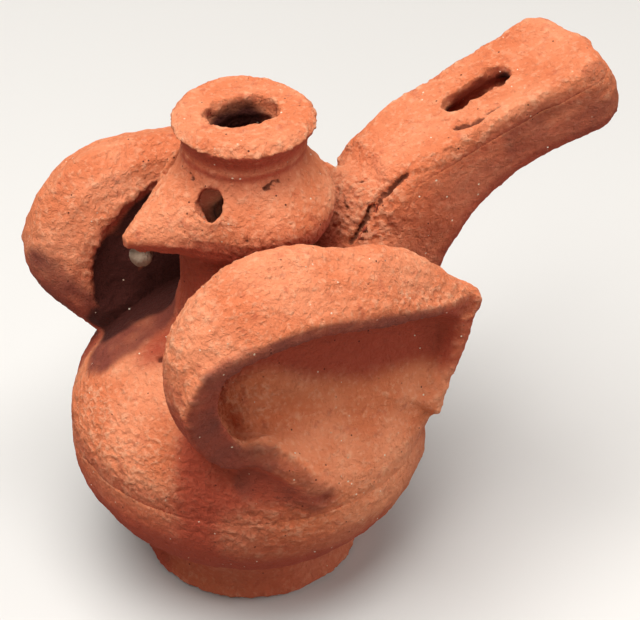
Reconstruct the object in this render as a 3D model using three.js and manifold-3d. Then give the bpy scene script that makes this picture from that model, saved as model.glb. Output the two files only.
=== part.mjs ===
// Hand-built earthenware bird whistle: a hollow round body on a low foot, a bell head with a
// flared spout and pierced eyes, two pinched wings and a slab tail that is blown as a mouthpiece.
// Millimetres, +Z up, beak towards -X, tail towards +X. The origin is the middle of the
// underside of the foot. Each separately made piece of clay is one mesh.
import * as THREE from "three";
import { mergeVertices } from "three/addons/utils/BufferGeometryUtils.js";
import Module from "manifold-3d";

const wasm = await Module();
wasm.setup();

// Joints between pieces of clay
const jointGap = 0.3;
const overrun = 8;

// Foot
const footRadius = 24.5;
const footWaistRadius = 23.4;
const footHeight = 9.5;
const footFloor = 4.2;
const footEdgeRound = 1.2;

// Body: two pinched bowls luted together rim to rim
const bodyRadius = 40.4;
const bowlDepth = 31.5;
const domeRise = 30;
const bodyWall = 5;
const seamSlant = 2;
const pinholeRadius = 1.6;
const pinholeBearing = 30;
const pinholeSpreadShare = 0.72;

// Neck
const neckX = 0;
const neckRadius = 14;
const neckFlareRadius = 17;
const neckBoreRadius = 6.5;

// Head: a bell with a constricted throat
const headRadius = 19.4;
const headBase = 87;
const headBaseRadius = 15;
const headWidestRise = 7.3;
const headThroatRadius = 12.6;
const headRise = 20.5;
const headWall = 4;
const headMouthRadius = 8.8;

// Eyes, pierced through the cheeks with a four-sided stick
const eyeWidth = 6.8;
const eyeHeight = 7.6;
const eyeRise = 14.5;
const eyeTurn = 36;
const eyeTilt = 20;

// Beak
const beakTipX = -28;
const beakTipRise = 4.5;
const beakTipRadius = 1.4;
const beakRootX = -6;
const beakRootHalfWidth = 17.8;
const beakRootTopRise = 18.4;
const beakRootBottomRise = 0.6;
const beakKeelHeight = 6;
const beakSoleShare = 0.72;
const beakSpreadPower = 1.05;
const beakRidgePower = 0.8;

// Pale pellet of clay under the beak
const pelletRadius = 2.6;
const pelletDrop = 0.6;
const pelletSetback = 3.8;

// Spout
const collarHeight = 3.5;
const collarRadius = 13.2;
const lipRadius = 15.1;
const lipHeight = 4.4;
const lipRound = 1.6;
const spoutHoleLength = 14.2;
const spoutHoleWidth = 11;
const spoutHoleDents = [
  { count: 3, share: 0.06 },
  { count: 5, share: 0.04 },
];

// Tail: an arched trough of clay, closed by a flat slab
const tailFootX = 19;
const tailFootHeight = 40;
const tailFootThickness = 26;
const tailRootX = 26;
const tailRootHeight = 56;
const tailBendX = 30;
const tailBendHeight = 93.5;
const tailEndX = 76.4;
const tailEndHeight = 102.4;
const tailRootThickness = 30;
const tailEndThickness = 19.8;
const tailRootWidth = 29.5;
const tailWaistWidth = 23.6;
const tailEndWidth = 26.2;
const tailWaistShare = 0.76;
const tailEndRound = 8;
const tailEndSkew = 1.6;
const tailEndDrift = 2.6;
const tailDriftStartX = 42;
const tailSquareness = 4.5;
const slabBendX = 32;
const slabBendHeight = 96.2;
const slabTilt = 19.6;
const slabToeX = 26.5;
const slabToeHeight = 83;
const slabThickness = 4.6;

// Windway, window and air duct
const windwayWidth = 11;
const windwayHeight = 2.2;
const channelDepth = 7;
const channelStartX = 43;
const windowX = 55.5;
const windowLength = 11.4;
const windowWidth = 4.6;
const windowEdgeReach = 3;
const ductRadius = 4.6;
const ductFootX = 27;
const ductFootHeight = 45;
const ductHeadX = 48;
const ductHeadHeight = 93;

// Lute of soft clay pressed into the angle between the neck and the tail root
const luteThickness = 8;
const luteWidth = 25;
const luteFootX = 15.5;
const luteFootDepth = 3.7;
const luteHeadX = 27;
const luteHeadHeight = 90;
const luteBow = 3;
const luteFadeShare = 0.45;

// Wings: slab scoops with their mouths turned outwards, the right one pinched a little larger.
// Their rims stand out level with the widest part of the body, less or more a little.
const leftWing = { side: -1, length: 80, spread: -0.4, height: 100, tipDrop: 0, breastSwell: 0 };
const rightWing = { side: 1, length: 91, spread: 0.1, height: 98.5, tipDrop: 7, breastSwell: 2.4 };
const wingRimThickness = 6.4;
const wingRootThickness = 7.5;
const wingRimRound = 0.8;

// Facets
const roundSteps = 36;
const smallRoundSteps = 24;
const arcSteps = 9;
const endSteps = 4;
const archSteps = 14;
const wingRunSteps = 30;
const wingAcrossSteps = 7;
const tailSteps = 12;
const weldTolerance = 1e-4;

// Cutters of revolution are turned a little so that their facets never line up with the clay's
const cutterTurn = 0.07;

// Clay colours
const litClay = "#c2643c";
const deepClay = "#a8502f";
const paleClay = "#c9b8a0";

// One closed solid from a three.js geometry, with its faces turned outwards.
function solidOf(geometry) {
  const bare = new THREE.BufferGeometry();
  bare.setAttribute("position", geometry.getAttribute("position"));
  if (geometry.index) bare.setIndex(geometry.index);
  const merged = mergeVertices(bare, weldTolerance);
  const corners = merged.getAttribute("position").array;
  const kept = [];
  const faces = merged.index.array;
  for (let f = 0; f < faces.length; f += 3) {
    const [a, b, c] = [faces[f], faces[f + 1], faces[f + 2]];
    if (a !== b && b !== c && c !== a) kept.push(a, b, c);
  }
  if (signedVolume(corners, kept) < 0) kept.reverse();
  const mesh = new wasm.Mesh({
    numProp: 3,
    vertProperties: new Float32Array(corners),
    triVerts: new Uint32Array(kept),
  });
  return new wasm.Manifold(mesh);
}

// Six times the volume that the faces enclose, negative when they face inwards.
function signedVolume(corners, faces) {
  const [a, b, c] = [new THREE.Vector3(), new THREE.Vector3(), new THREE.Vector3()];
  let volume = 0;
  for (let f = 0; f < faces.length; f += 3) {
    a.fromArray(corners, 3 * faces[f]);
    b.fromArray(corners, 3 * faces[f + 1]);
    c.fromArray(corners, 3 * faces[f + 2]);
    volume += a.dot(b.cross(c));
  }
  return volume;
}

// The three.js geometry of a solid.
function geometryOf(solid) {
  const mesh = solid.getMesh();
  const geometry = new THREE.BufferGeometry();
  geometry.setAttribute("position", new THREE.BufferAttribute(mesh.vertProperties, 3));
  geometry.setIndex(new THREE.BufferAttribute(mesh.triVerts, 1));
  geometry.computeVertexNormals();
  return geometry;
}

// A named mesh of fired clay.
function clayPiece(name, solid, colour, roughness) {
  const material = new THREE.MeshStandardMaterial({ color: colour, roughness, metalness: 0 });
  const mesh = new THREE.Mesh(geometryOf(solid), material);
  mesh.name = name;
  return mesh;
}

// A solid of revolution about an upright axis at x, from [radius, height] points.
function revolved(points, x, steps, turn = 0) {
  const profile = points.map(([radius, height]) => new THREE.Vector2(radius, height));
  profile.push(profile[0].clone());
  const geometry = new THREE.LatheGeometry(profile, steps, turn);
  geometry.rotateX(Math.PI / 2);
  geometry.translate(x, 0, 0);
  return solidOf(geometry);
}

// Points of a quarter ellipse from one angle to another, as [radius, height].
function ellipseArc(radius, rise, centre, from, to, steps) {
  const points = [];
  for (let i = 0; i <= steps; i += 1) {
    const angle = from + ((to - from) * i) / steps;
    points.push([radius * Math.cos(angle), centre + rise * Math.sin(angle)]);
  }
  return points;
}

// A closed loft through rings of equally many points, with flat fans over both ends.
function lofted(rings) {
  const count = rings[0].length;
  const corners = [];
  for (const ring of rings) for (const point of ring) corners.push(point.x, point.y, point.z);
  const faces = [];
  for (let r = 0; r + 1 < rings.length; r += 1) {
    for (let i = 0; i < count; i += 1) {
      const j = (i + 1) % count;
      const [a, b] = [r * count + i, r * count + j];
      faces.push(a, b, b + count, a, b + count, a + count);
    }
  }
  for (const [first, flip] of [[0, true], [(rings.length - 1) * count, false]]) {
    const hub = corners.length / 3;
    const middle = new THREE.Vector3();
    for (const point of rings[first / count]) middle.addScaledVector(point, 1 / count);
    corners.push(middle.x, middle.y, middle.z);
    for (let i = 0; i < count; i += 1) {
      const j = (i + 1) % count;
      if (flip) faces.push(hub, first + j, first + i);
      else faces.push(hub, first + i, first + j);
    }
  }
  const geometry = new THREE.BufferGeometry();
  geometry.setAttribute("position", new THREE.Float32BufferAttribute(corners, 3));
  geometry.setIndex(faces);
  return solidOf(geometry);
}

// A prism across the bird from an outline in the upright plane through beak and tail.
function crossPrism(outline, width) {
  const shape = new THREE.Shape(outline.map(([x, z]) => new THREE.Vector2(x, z)));
  const geometry = new THREE.ExtrudeGeometry(shape, { depth: width, bevelEnabled: false });
  geometry.translate(0, 0, -width / 2);
  geometry.rotateX(Math.PI / 2);
  return solidOf(geometry);
}

// A round rod between two points.
function rodBetween(from, to, radius) {
  const along = to.clone().sub(from);
  const geometry = new THREE.CylinderGeometry(radius, radius, along.length(), smallRoundSteps);
  const turn = new THREE.Quaternion();
  turn.setFromUnitVectors(new THREE.Vector3(0, 1, 0), along.clone().normalize());
  geometry.applyQuaternion(turn);
  const middle = from.clone().add(to).multiplyScalar(0.5);
  geometry.translate(middle.x, middle.y, middle.z);
  return solidOf(geometry);
}

// Body

const bodyCentre = footFloor + jointGap + bowlDepth;

// Height of the top of the body at a distance from its axis.
function domeTopAt(spread) {
  return bodyCentre + domeRise * Math.sqrt(1 - (spread / bodyRadius) ** 2);
}

// The whole outside of the body as one solid, grown all round by a margin.
function bodyOutside(margin) {
  const radius = bodyRadius + margin;
  const lower = ellipseArc(radius, bowlDepth + margin, bodyCentre, -Math.PI / 2, 0, 2 * arcSteps);
  const upper = ellipseArc(radius, domeRise + margin, bodyCentre, 0, Math.PI / 2, 2 * arcSteps);
  return revolved([...lower, ...upper.slice(1)], 0, roundSteps);
}

// The hollow chamber inside the body.
function chamber() {
  const radius = bodyRadius - bodyWall;
  const depth = bowlDepth - bodyWall;
  const rise = domeRise - bodyWall;
  const lower = ellipseArc(radius, depth, bodyCentre, -Math.PI / 2, 0, arcSteps);
  const upper = ellipseArc(radius, rise, bodyCentre, 0, Math.PI / 2, arcSteps);
  return revolved([...lower, ...upper.slice(1)], 0, roundSteps);
}

// Everything below the slanted seam, as a cone-topped cutter.
function belowSeam(lift) {
  const outside = bodyRadius + overrun;
  const slope = seamSlant / bodyWall;
  const level = bodyCentre + lift;
  const floor = bodyCentre - bowlDepth - overrun;
  const points = [
    [0, floor],
    [outside, floor],
    [outside, level - slope * overrun],
    [bodyRadius - bodyWall - overrun, level + seamSlant + slope * overrun],
    [0, level + seamSlant + slope * overrun],
  ];
  return revolved(points, 0, roundSteps, cutterTurn);
}

function lowerBowl() {
  return bodyOutside(0).subtract(chamber()).intersect(belowSeam(-jointGap / 2));
}

function upperDome() {
  const shell = bodyOutside(0).subtract(chamber()).subtract(belowSeam(jointGap / 2));
  return shell.subtract(neckBore()).subtract(airDuct()).subtract(breastPinhole());
}

// A firing hole pierced through the breast beside the neck.
function breastPinhole() {
  const bearing = THREE.MathUtils.degToRad(pinholeBearing);
  const out = new THREE.Vector3(-Math.cos(bearing), -Math.sin(bearing), 0);
  out.multiplyScalar(bodyRadius * pinholeSpreadShare);
  const inner = new THREE.Vector3(out.x / 2, out.y / 2, bodyCentre);
  const outer = new THREE.Vector3(out.x, out.y, bodyCentre + domeRise);
  return rodBetween(inner, outer, pinholeRadius);
}

// Foot

function footDisc() {
  const round = footEdgeRound;
  const points = [
    [0, 0],
    [footRadius - round, 0],
    [footRadius, round],
    [footWaistRadius, footHeight / 2],
    [footWaistRadius + round / 2, footHeight],
    [0, footHeight],
  ];
  return revolved(points, 0, roundSteps).subtract(bodyOutside(jointGap));
}

// Neck

function neckBore() {
  const floor = bodyCentre;
  const points = [
    [0, floor],
    [neckBoreRadius, floor],
    [neckBoreRadius, headBase + overrun],
    [0, headBase + overrun],
  ];
  return revolved(points, neckX, smallRoundSteps, cutterTurn);
}

// The outside of the neck with its flared skirt, grown by a margin.
function neckOutside(margin) {
  const floor = bodyCentre + domeRise / 2;
  const shoulder = bodyCentre + domeRise;
  const top = headBase - jointGap;
  const points = [
    [0, floor],
    [neckFlareRadius + margin, floor],
    [neckFlareRadius + margin, shoulder - (shoulder - floor) / 4],
    [neckRadius + (neckFlareRadius - neckRadius) / 3 + margin, shoulder + (top - shoulder) / 6],
    [neckRadius + margin, shoulder + (top - shoulder) / 3],
    [neckRadius + margin, top],
    [0, top],
  ];
  return revolved(points, neckX, roundSteps, cutterTurn);
}

function neckTube() {
  return neckOutside(0).subtract(bodyOutside(jointGap)).subtract(neckBore());
}

// Head

const headWidestHeight = headBase + headWidestRise;
const headTop = headBase + headRise;

// The outside of the bell, grown by a margin.
function headOutside(margin) {
  const swell = headRadius - headBaseRadius;
  const lower = ellipseArc(swell, headWidestRise, headWidestHeight, -Math.PI / 2, 0, endSteps);
  const upper = [];
  for (let i = 1; i <= arcSteps; i += 1) {
    const share = i / arcSteps;
    const drawnIn = (1 - Math.cos(Math.PI * share)) / 2;
    const radius = headRadius + (headThroatRadius - headRadius) * drawnIn;
    upper.push([radius + margin, headWidestHeight + (headTop - headWidestHeight) * share]);
  }
  const base = lower.map(([radius, height]) => [headBaseRadius + radius + margin, height]);
  return revolved([[0, headBase - margin], ...base, ...upper, [0, headTop]], neckX, roundSteps);
}

// The hollow inside the bell, open at its floor and at its throat.
function headHollow() {
  const inner = headRadius - headWall;
  const floor = headBase + headWall;
  const level = headWidestHeight + headWall / 2;
  const top = headTop - headWall / 2;
  const points = [
    [0, headBase - overrun],
    [neckBoreRadius, headBase - overrun],
    [neckBoreRadius, floor],
    [inner - headWall / 2, floor],
    [inner, level],
    [inner - headWall / 2, level + (top - level) / 2],
    [headMouthRadius, top],
    [headMouthRadius, headTop + overrun],
    [0, headTop + overrun],
  ];
  return revolved(points, neckX, smallRoundSteps);
}

// One eye hole, side -1 for the left cheek and +1 for the right.
function eyeHole(side) {
  const shape = new THREE.Shape([
    new THREE.Vector2(-eyeWidth / 2, 0),
    new THREE.Vector2(0, -eyeHeight / 2),
    new THREE.Vector2(eyeWidth / 2, 0),
    new THREE.Vector2(0, eyeHeight / 2),
  ]);
  const depth = headRadius + overrun;
  const geometry = new THREE.ExtrudeGeometry(shape, { depth, bevelEnabled: false });
  geometry.translate(0, 0, headMouthRadius);
  geometry.rotateX(-THREE.MathUtils.degToRad(eyeTilt));
  geometry.rotateX(Math.PI / 2);
  geometry.rotateZ(THREE.MathUtils.degToRad(side < 0 ? -(90 - eyeTurn) : -(90 + eyeTurn)));
  const drop = headRadius * Math.sin(THREE.MathUtils.degToRad(eyeTilt));
  geometry.translate(neckX, 0, headBase + eyeRise - drop);
  return solidOf(geometry);
}

function headShell() {
  return headOutside(0).subtract(headHollow()).subtract(eyeHole(-1)).subtract(eyeHole(1));
}

const beakTipHeight = headBase + beakTipRise;
const beakRootTop = headBase + beakRootTopRise;
const beakRootBottom = headBase + beakRootBottomRise;

// The beak as a cone with a keeled underside, whose root spreads over the cheeks, grown by a margin.
function beakCone(margin) {
  const rings = [];
  for (let s = 0; s <= tailSteps; s += 1) {
    const share = s / tailSteps;
    const spread = (1 - share) ** beakSpreadPower;
    const ridge = (1 - share) ** beakRidgePower;
    const x = beakRootX + (beakTipX - beakRootX) * share;
    const halfWidth = beakTipRadius + (beakRootHalfWidth - beakTipRadius) * spread;
    const top = beakTipHeight + beakTipRadius + (beakRootTop - beakTipHeight) * ridge;
    const bottom = beakRootBottom + (beakTipHeight - beakTipRadius - beakRootBottom) * share ** 2;
    const keel = THREE.MathUtils.lerp(beakKeelHeight, beakTipRadius, share);
    rings.push(beakRing(x, halfWidth + margin, bottom - margin, bottom + keel, top + margin));
  }
  return lofted(rings);
}

// A ring in the plane at x: an arch down to its edges, and a narrower sole under them.
function beakRing(x, halfWidth, bottom, edge, top) {
  const ring = [];
  for (let i = 0; i <= archSteps; i += 1) {
    const angle = (Math.PI * i) / archSteps;
    const height = edge + (top - edge) * Math.sin(angle);
    ring.push(new THREE.Vector3(x, halfWidth * Math.cos(angle), height));
  }
  const sole = halfWidth * beakSoleShare;
  ring.push(new THREE.Vector3(x, -sole, bottom), new THREE.Vector3(x, sole, bottom));
  return ring;
}

function beak() {
  const outside = beakCone(0).subtract(headOutside(jointGap)).subtract(headHollow());
  return outside.subtract(eyeHole(-1)).subtract(eyeHole(1));
}

// The pellet is pressed flat against the underside of the beak.
function throatPellet() {
  const geometry = new THREE.SphereGeometry(pelletRadius, smallRoundSteps / 2, arcSteps);
  geometry.translate(beakTipX + pelletSetback, 0, beakRootBottom - pelletDrop);
  return solidOf(geometry).subtract(beakCone(jointGap));
}

// Spout

const collarTop = headTop + collarHeight;
const lipTop = collarTop + lipHeight;

// The irregular oval hole through lip and collar.
function spoutHole() {
  const rings = [];
  for (const height of [headTop - overrun, lipTop + overrun]) {
    const ring = [];
    for (let i = 0; i < smallRoundSteps; i += 1) {
      const angle = (2 * Math.PI * i) / smallRoundSteps;
      let wobble = 1;
      for (const dent of spoutHoleDents) wobble += dent.share * Math.sin(dent.count * angle);
      const along = (spoutHoleLength / 2) * wobble * Math.cos(angle);
      const across = (spoutHoleWidth / 2) * wobble * Math.sin(angle);
      ring.push(new THREE.Vector3(neckX + along, across, height));
    }
    rings.push(ring);
  }
  return lofted(rings);
}

function spoutCollar() {
  const points = [
    [0, headTop + jointGap],
    [headThroatRadius, headTop + jointGap],
    [collarRadius, collarTop],
    [0, collarTop],
  ];
  return revolved(points, neckX, roundSteps).subtract(spoutHole());
}

function spoutLip() {
  const middle = collarTop + jointGap;
  const points = [
    [0, middle],
    [collarRadius, middle],
    [lipRadius - lipRound / 2, middle + lipRound / 2],
    [lipRadius, (middle + lipTop) / 2],
    [lipRadius - lipRound / 2, lipTop - lipRound / 2],
    [lipRadius - lipRound, lipTop],
    [0, lipTop],
  ];
  return revolved(points, neckX, roundSteps).subtract(spoutHole());
}

// Tail

// The middle line of the slab's top face: toe, bend and a point past the end.
const slabSlope = Math.tan(THREE.MathUtils.degToRad(slabTilt));
const tailReach = tailEndX + tailEndThickness;
const slabTop = [
  new THREE.Vector2(slabToeX, slabToeHeight),
  new THREE.Vector2(slabBendX, slabBendHeight),
  new THREE.Vector2(tailReach, slabBendHeight + (tailReach - slabBendX) * slabSlope),
];

// Height of the flat top of the tail above a point of its length.
function slabTopAt(x) {
  return slabBendHeight + (x - slabBendX) * slabSlope;
}

// The slab's top line moved down at right angles to both of its stretches.
function sunkSlabLine(depth) {
  const [toe, bend, end] = slabTop;
  const first = bend.clone().sub(toe).normalize();
  const second = end.clone().sub(bend).normalize();
  const [firstDown, secondDown] = [first, second].map((way) => new THREE.Vector2(way.y, -way.x));
  const mitre = firstDown.clone().add(secondDown).normalize();
  return [
    toe.clone().addScaledVector(firstDown, depth),
    bend.clone().addScaledVector(mitre, depth / mitre.dot(firstDown)),
    end.clone().addScaledVector(secondDown, depth),
  ];
}

// How far the tail has swerved towards the left wing at a place along it.
function tailDriftAt(x) {
  const share = Math.max(0, x - tailDriftStartX) / (tailEndX - tailDriftStartX);
  return -tailEndDrift * share;
}

// Width of the tail: narrower at its waist than at its root and its end.
function tailWidthAt(share) {
  const smooth = THREE.MathUtils.smoothstep;
  if (share < tailWaistShare) {
    const part = smooth(share, 0, tailWaistShare);
    return THREE.MathUtils.lerp(tailRootWidth, tailWaistWidth, part);
  }
  return THREE.MathUtils.lerp(tailWaistWidth, tailEndWidth, smooth(share, tailWaistShare, 1));
}

// The tail's full outside before it is divided: a loft from its foot inside the body along an
// arched spine to its rounded end.
function tailOutside() {
  const spine = new THREE.QuadraticBezierCurve(
    new THREE.Vector2(tailRootX, tailRootHeight),
    new THREE.Vector2(tailBendX, tailBendHeight),
    new THREE.Vector2(tailEndX, tailEndHeight),
  );
  const foot = new THREE.Vector2(tailFootX, tailFootHeight);
  const rings = [tailRing(foot, spine.getTangent(0), tailFootThickness, tailRootWidth)];
  for (let s = 0; s <= tailSteps; s += 1) {
    const share = s / tailSteps;
    const thickness = THREE.MathUtils.lerp(tailRootThickness, tailEndThickness, share);
    const lead = tailEndSkew * share ** 3;
    const [centre, tangent] = [spine.getPoint(share), spine.getTangent(share)];
    rings.push(tailRing(centre, tangent, thickness, tailWidthAt(share), lead));
  }
  const end = spine.getPoint(1);
  const out = spine.getTangent(1);
  for (let s = 1; s < endSteps; s += 1) {
    const angle = (Math.PI * s) / (2 * endSteps);
    const centre = end.clone().addScaledVector(out, tailEndRound * Math.sin(angle));
    const inset = tailEndRound * (1 - Math.cos(angle));
    rings.push(tailRing(centre, out, tailEndThickness - inset, tailEndWidth - 2 * inset, tailEndSkew));
  }
  for (const ring of rings) for (const point of ring) point.y += tailDriftAt(point.x);
  return lofted(rings);
}

// A squared oval ring across the spine. Its left side lies further along by a lead.
function tailRing(centre, tangent, thickness, width, lead = 0) {
  const ring = [];
  for (let i = 0; i < smallRoundSteps; i += 1) {
    const angle = (2 * Math.PI * i) / smallRoundSteps;
    const side = squared(Math.cos(angle));
    const up = squared(Math.sin(angle)) * (thickness / 2);
    const on = -side * lead;
    const x = centre.x - tangent.y * up + tangent.x * on;
    ring.push(new THREE.Vector3(x, (side * width) / 2, centre.y + tangent.x * up + tangent.y * on));
  }
  return ring;
}

// A cosine or sine pushed outwards so that an oval becomes squarer.
function squared(value) {
  return Math.sign(value) * Math.abs(value) ** (2 / tailSquareness);
}

// A band across the tail between two depths under the slab's top line.
function slabBand(upper, lower, width) {
  const band = [...sunkSlabLine(upper), ...sunkSlabLine(lower).reverse()];
  return crossPrism(band.map((point) => [point.x, point.y]), width);
}

// A straight band parallel to the flat top, swerving with the tail, from one place to past its end.
function flatBand(fromX, upper, lower, width) {
  const ends = [fromX, tailReach];
  const rings = ends.map((x) => {
    const middle = tailDriftAt(x);
    const [top, bottom] = [slabTopAt(x) - upper, slabTopAt(x) - lower];
    return [
      new THREE.Vector3(x, middle - width / 2, bottom),
      new THREE.Vector3(x, middle + width / 2, bottom),
      new THREE.Vector3(x, middle + width / 2, top),
      new THREE.Vector3(x, middle - width / 2, top),
    ];
  });
  return lofted(rings);
}

const slabDrop = slabThickness / Math.cos(THREE.MathUtils.degToRad(slabTilt));
const blockStartX = windowX + windowLength / 2 + jointGap;

// The bore that joins the chamber to the channel in the tail.
function airDuct() {
  const foot = new THREE.Vector3(ductFootX, 0, ductFootHeight);
  const head = new THREE.Vector3(ductHeadX, 0, ductHeadHeight);
  return rodBetween(foot, head, ductRadius);
}

function tailTrough() {
  const above = slabBand(-3 * overrun, slabThickness + jointGap, tailRootWidth + overrun);
  const channel = flatBand(channelStartX, 0, slabDrop + channelDepth, windwayWidth);
  const shell = tailOutside().subtract(above).subtract(channel).subtract(airDuct());
  const seated = shell.subtract(bodyOutside(jointGap)).subtract(neckOutside(jointGap));
  return seated.subtract(lutePad(jointGap));
}

function tailTopSlab() {
  const band = slabBand(0, slabThickness, tailRootWidth + overrun);
  const back = windowX - windowLength / 2;
  const front = windowX + windowLength / 2;
  const window = crossPrism(
    [
      [back, slabTopAt(back)],
      [back - overrun, slabTopAt(back) + overrun],
      [front, slabTopAt(front) + overrun],
      [front, slabTopAt(front) - slabDrop - overrun],
      [back + windowEdgeReach, slabTopAt(back + windowEdgeReach) - slabDrop - overrun],
      [back + windowEdgeReach, slabTopAt(back + windowEdgeReach) - slabDrop + jointGap],
    ],
    windowWidth,
  );
  return tailOutside().intersect(band).subtract(window).subtract(lutePad(jointGap));
}

// The block that leaves the windway open above it.
function windwayBlock() {
  const upper = slabDrop + windwayHeight;
  const lower = slabDrop + channelDepth - jointGap;
  const block = flatBand(blockStartX, upper, lower, windwayWidth - 2 * jointGap);
  return tailOutside().intersect(block);
}

const luteFootHeight = domeTopAt(luteFootX) - luteFootDepth;

// The pad of soft clay between neck and tail, grown by a margin.
function lutePad(margin) {
  const path = new THREE.QuadraticBezierCurve(
    new THREE.Vector2(luteFootX, luteFootHeight),
    new THREE.Vector2((luteFootX + luteHeadX) / 2 - luteBow, (luteFootHeight + luteHeadHeight) / 2),
    new THREE.Vector2(luteHeadX, luteHeadHeight),
  );
  const rings = [];
  for (let s = 0; s <= arcSteps; s += 1) {
    const share = s / arcSteps;
    const fade = 1 - luteFadeShare * share ** 3;
    const thickness = luteThickness * fade + 2 * margin;
    const width = luteWidth * fade + 2 * margin;
    rings.push(tailRing(path.getPoint(share), path.getTangent(share), thickness, width));
  }
  return lofted(rings);
}

function tailRootLute() {
  const pad = lutePad(0).subtract(bodyOutside(jointGap)).subtract(neckOutside(jointGap));
  return pad.subtract(headOutside(jointGap));
}

// Wings

// Guide curves of the left wing from its rear tip round the front to the lower hook, as shares
// of the wing's length, reach and height. The reach is the body's radius and the wing's spread.
const wingRimShares = [
  [0.498, 0.72, 0.7],
  [0.317, 0.825, 0.761],
  [0.121, 0.938, 0.821],
  [-0.06, 0.988, 0.861],
  [-0.201, 0.988, 0.854],
  [-0.308, 0.963, 0.815],
  [-0.351, 0.925, 0.737],
  [-0.326, 0.863, 0.632],
  [-0.233, 0.8, 0.525],
  [-0.138, 0.875, 0.525],
  [-0.02, 0.95, 0.435],
];
const wingCrownShares = [
  [0.54, 0.6, 0.715],
  [0.405, 0.574, 0.85],
  [0.191, 0.569, 1.004],
  [-0.108, 0.586, 1.078],
  [-0.32, 0.616, 1.053],
  [-0.41, 0.64, 0.92],
  [-0.41, 0.663, 0.745],
  [-0.35, 0.69, 0.62],
  [-0.265, 0.73, 0.545],
  [-0.15, 0.82, 0.54],
  [-0.04, 0.91, 0.455],
];
const wingWallShares = [
  [0.505, 0.585, 0.59],
  [0.39, 0.532, 0.668],
  [0.192, 0.508, 0.786],
  [-0.051, 0.489, 0.849],
  [-0.213, 0.441, 0.847],
  [-0.291, 0.456, 0.768],
  [-0.315, 0.512, 0.666],
  [-0.28, 0.611, 0.584],
  [-0.225, 0.69, 0.53],
  [-0.13, 0.78, 0.51],
  [-0.05, 0.87, 0.44],
];
const wingRootShares = [
  [0.392, 0.66, 0.445],
  [0.345, 0.643, 0.485],
  [0.188, 0.643, 0.553],
  [-0.02, 0.631, 0.588],
  [-0.146, 0.585, 0.582],
  [-0.202, 0.562, 0.575],
  [-0.233, 0.565, 0.561],
  [-0.232, 0.627, 0.527],
  [-0.19, 0.67, 0.495],
  [-0.11, 0.74, 0.475],
  [-0.05, 0.81, 0.43],
];

// Thickness of the rim at the same keys, as shares of its largest
const wingRimThicknessShares = [0.8, 0.78, 0.76, 0.76, 0.84, 0.95, 1, 0.95, 0.8, 0.6, 0.4];

// How far the guides of a drooping wing hang lower at the same keys, or stand higher where a share
// is negative, as shares of its tip's drop
const wingDropShares = [1, 0.5, 0.2, 0.1, 0.06, 0.1, 0.15, -0.4, -1, -0.9, -0.2];

// How far a swelling wing reaches further forward at the same keys, as shares of its swell
const wingSwellShares = [0, 0, 0, 0, 0, 0, 0.5, 1, 0.6, 0.2, 0];

// A smooth guide curve of one wing.
function wingGuide(shares, wing) {
  const reach = bodyRadius + wing.spread;
  const points = shares.map(([along, out, up], index) => {
    const drop = wing.tipDrop * wingDropShares[index];
    const swell = wing.breastSwell * wingSwellShares[index];
    return new THREE.Vector3(
      along * wing.length - swell,
      wing.side * out * reach,
      up * wing.height - drop,
    );
  });
  return new THREE.CatmullRomCurve3(points, false, "centripetal");
}

// Thickness of the rim at a share of the way along the guides.
function rimThicknessAt(share) {
  const last = wingRimThicknessShares.length - 1;
  const key = Math.min(Math.floor(share * last), last - 1);
  const [from, to] = wingRimThicknessShares.slice(key, key + 2);
  return wingRimThickness * THREE.MathUtils.lerp(from, to, share * last - key);
}

// A point of the scoop's middle face: across from root to rim, along from rear tip to hook.
function scoopPoint(guides, across, along) {
  const points = guides.map((guide) => guide.getPoint(THREE.MathUtils.clamp(along, 0, 1)));
  return new THREE.CubicBezierCurve3(...points).getPoint(THREE.MathUtils.clamp(across, 0, 1));
}

// One closed section of the scoop's wall, from root to rim and back.
function wingRing(guides, along) {
  const [outer, inner] = [[], []];
  const step = 1 / (wingRunSteps * wingAcrossSteps);
  for (let i = 0; i <= wingAcrossSteps; i += 1) {
    const across = i / wingAcrossSteps;
    const fade = across ** 0.5;
    const half = THREE.MathUtils.lerp(wingRootThickness, rimThicknessAt(along), fade) / 2;
    const middle = scoopPoint(guides, across, along);
    const rise = scoopPoint(guides, across + step, along).sub(scoopPoint(guides, across - step, along));
    const run = scoopPoint(guides, across, along + step).sub(scoopPoint(guides, across, along - step));
    const side = rise.clone().cross(run).normalize();
    outer.push(middle.clone().addScaledVector(side, half));
    inner.unshift(middle.clone().addScaledVector(side, -half));
    if (i === wingAcrossSteps) outer.push(middle.addScaledVector(rise.normalize(), wingRimRound));
  }
  return [...outer, ...inner];
}

// The full scoop of one wing before it is seated on the body.
function wingScoop(wing) {
  const tables = [wingRootShares, wingWallShares, wingCrownShares, wingRimShares];
  const guides = tables.map((shares) => wingGuide(shares, wing));
  const rings = [];
  for (let s = 0; s <= wingRunSteps; s += 1) rings.push(wingRing(guides, s / wingRunSteps));
  return lofted(rings);
}

function seatedWing(wing) {
  return wingScoop(wing).subtract(bodyOutside(jointGap)).subtract(neckOutside(jointGap));
}

// Assembly

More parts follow.
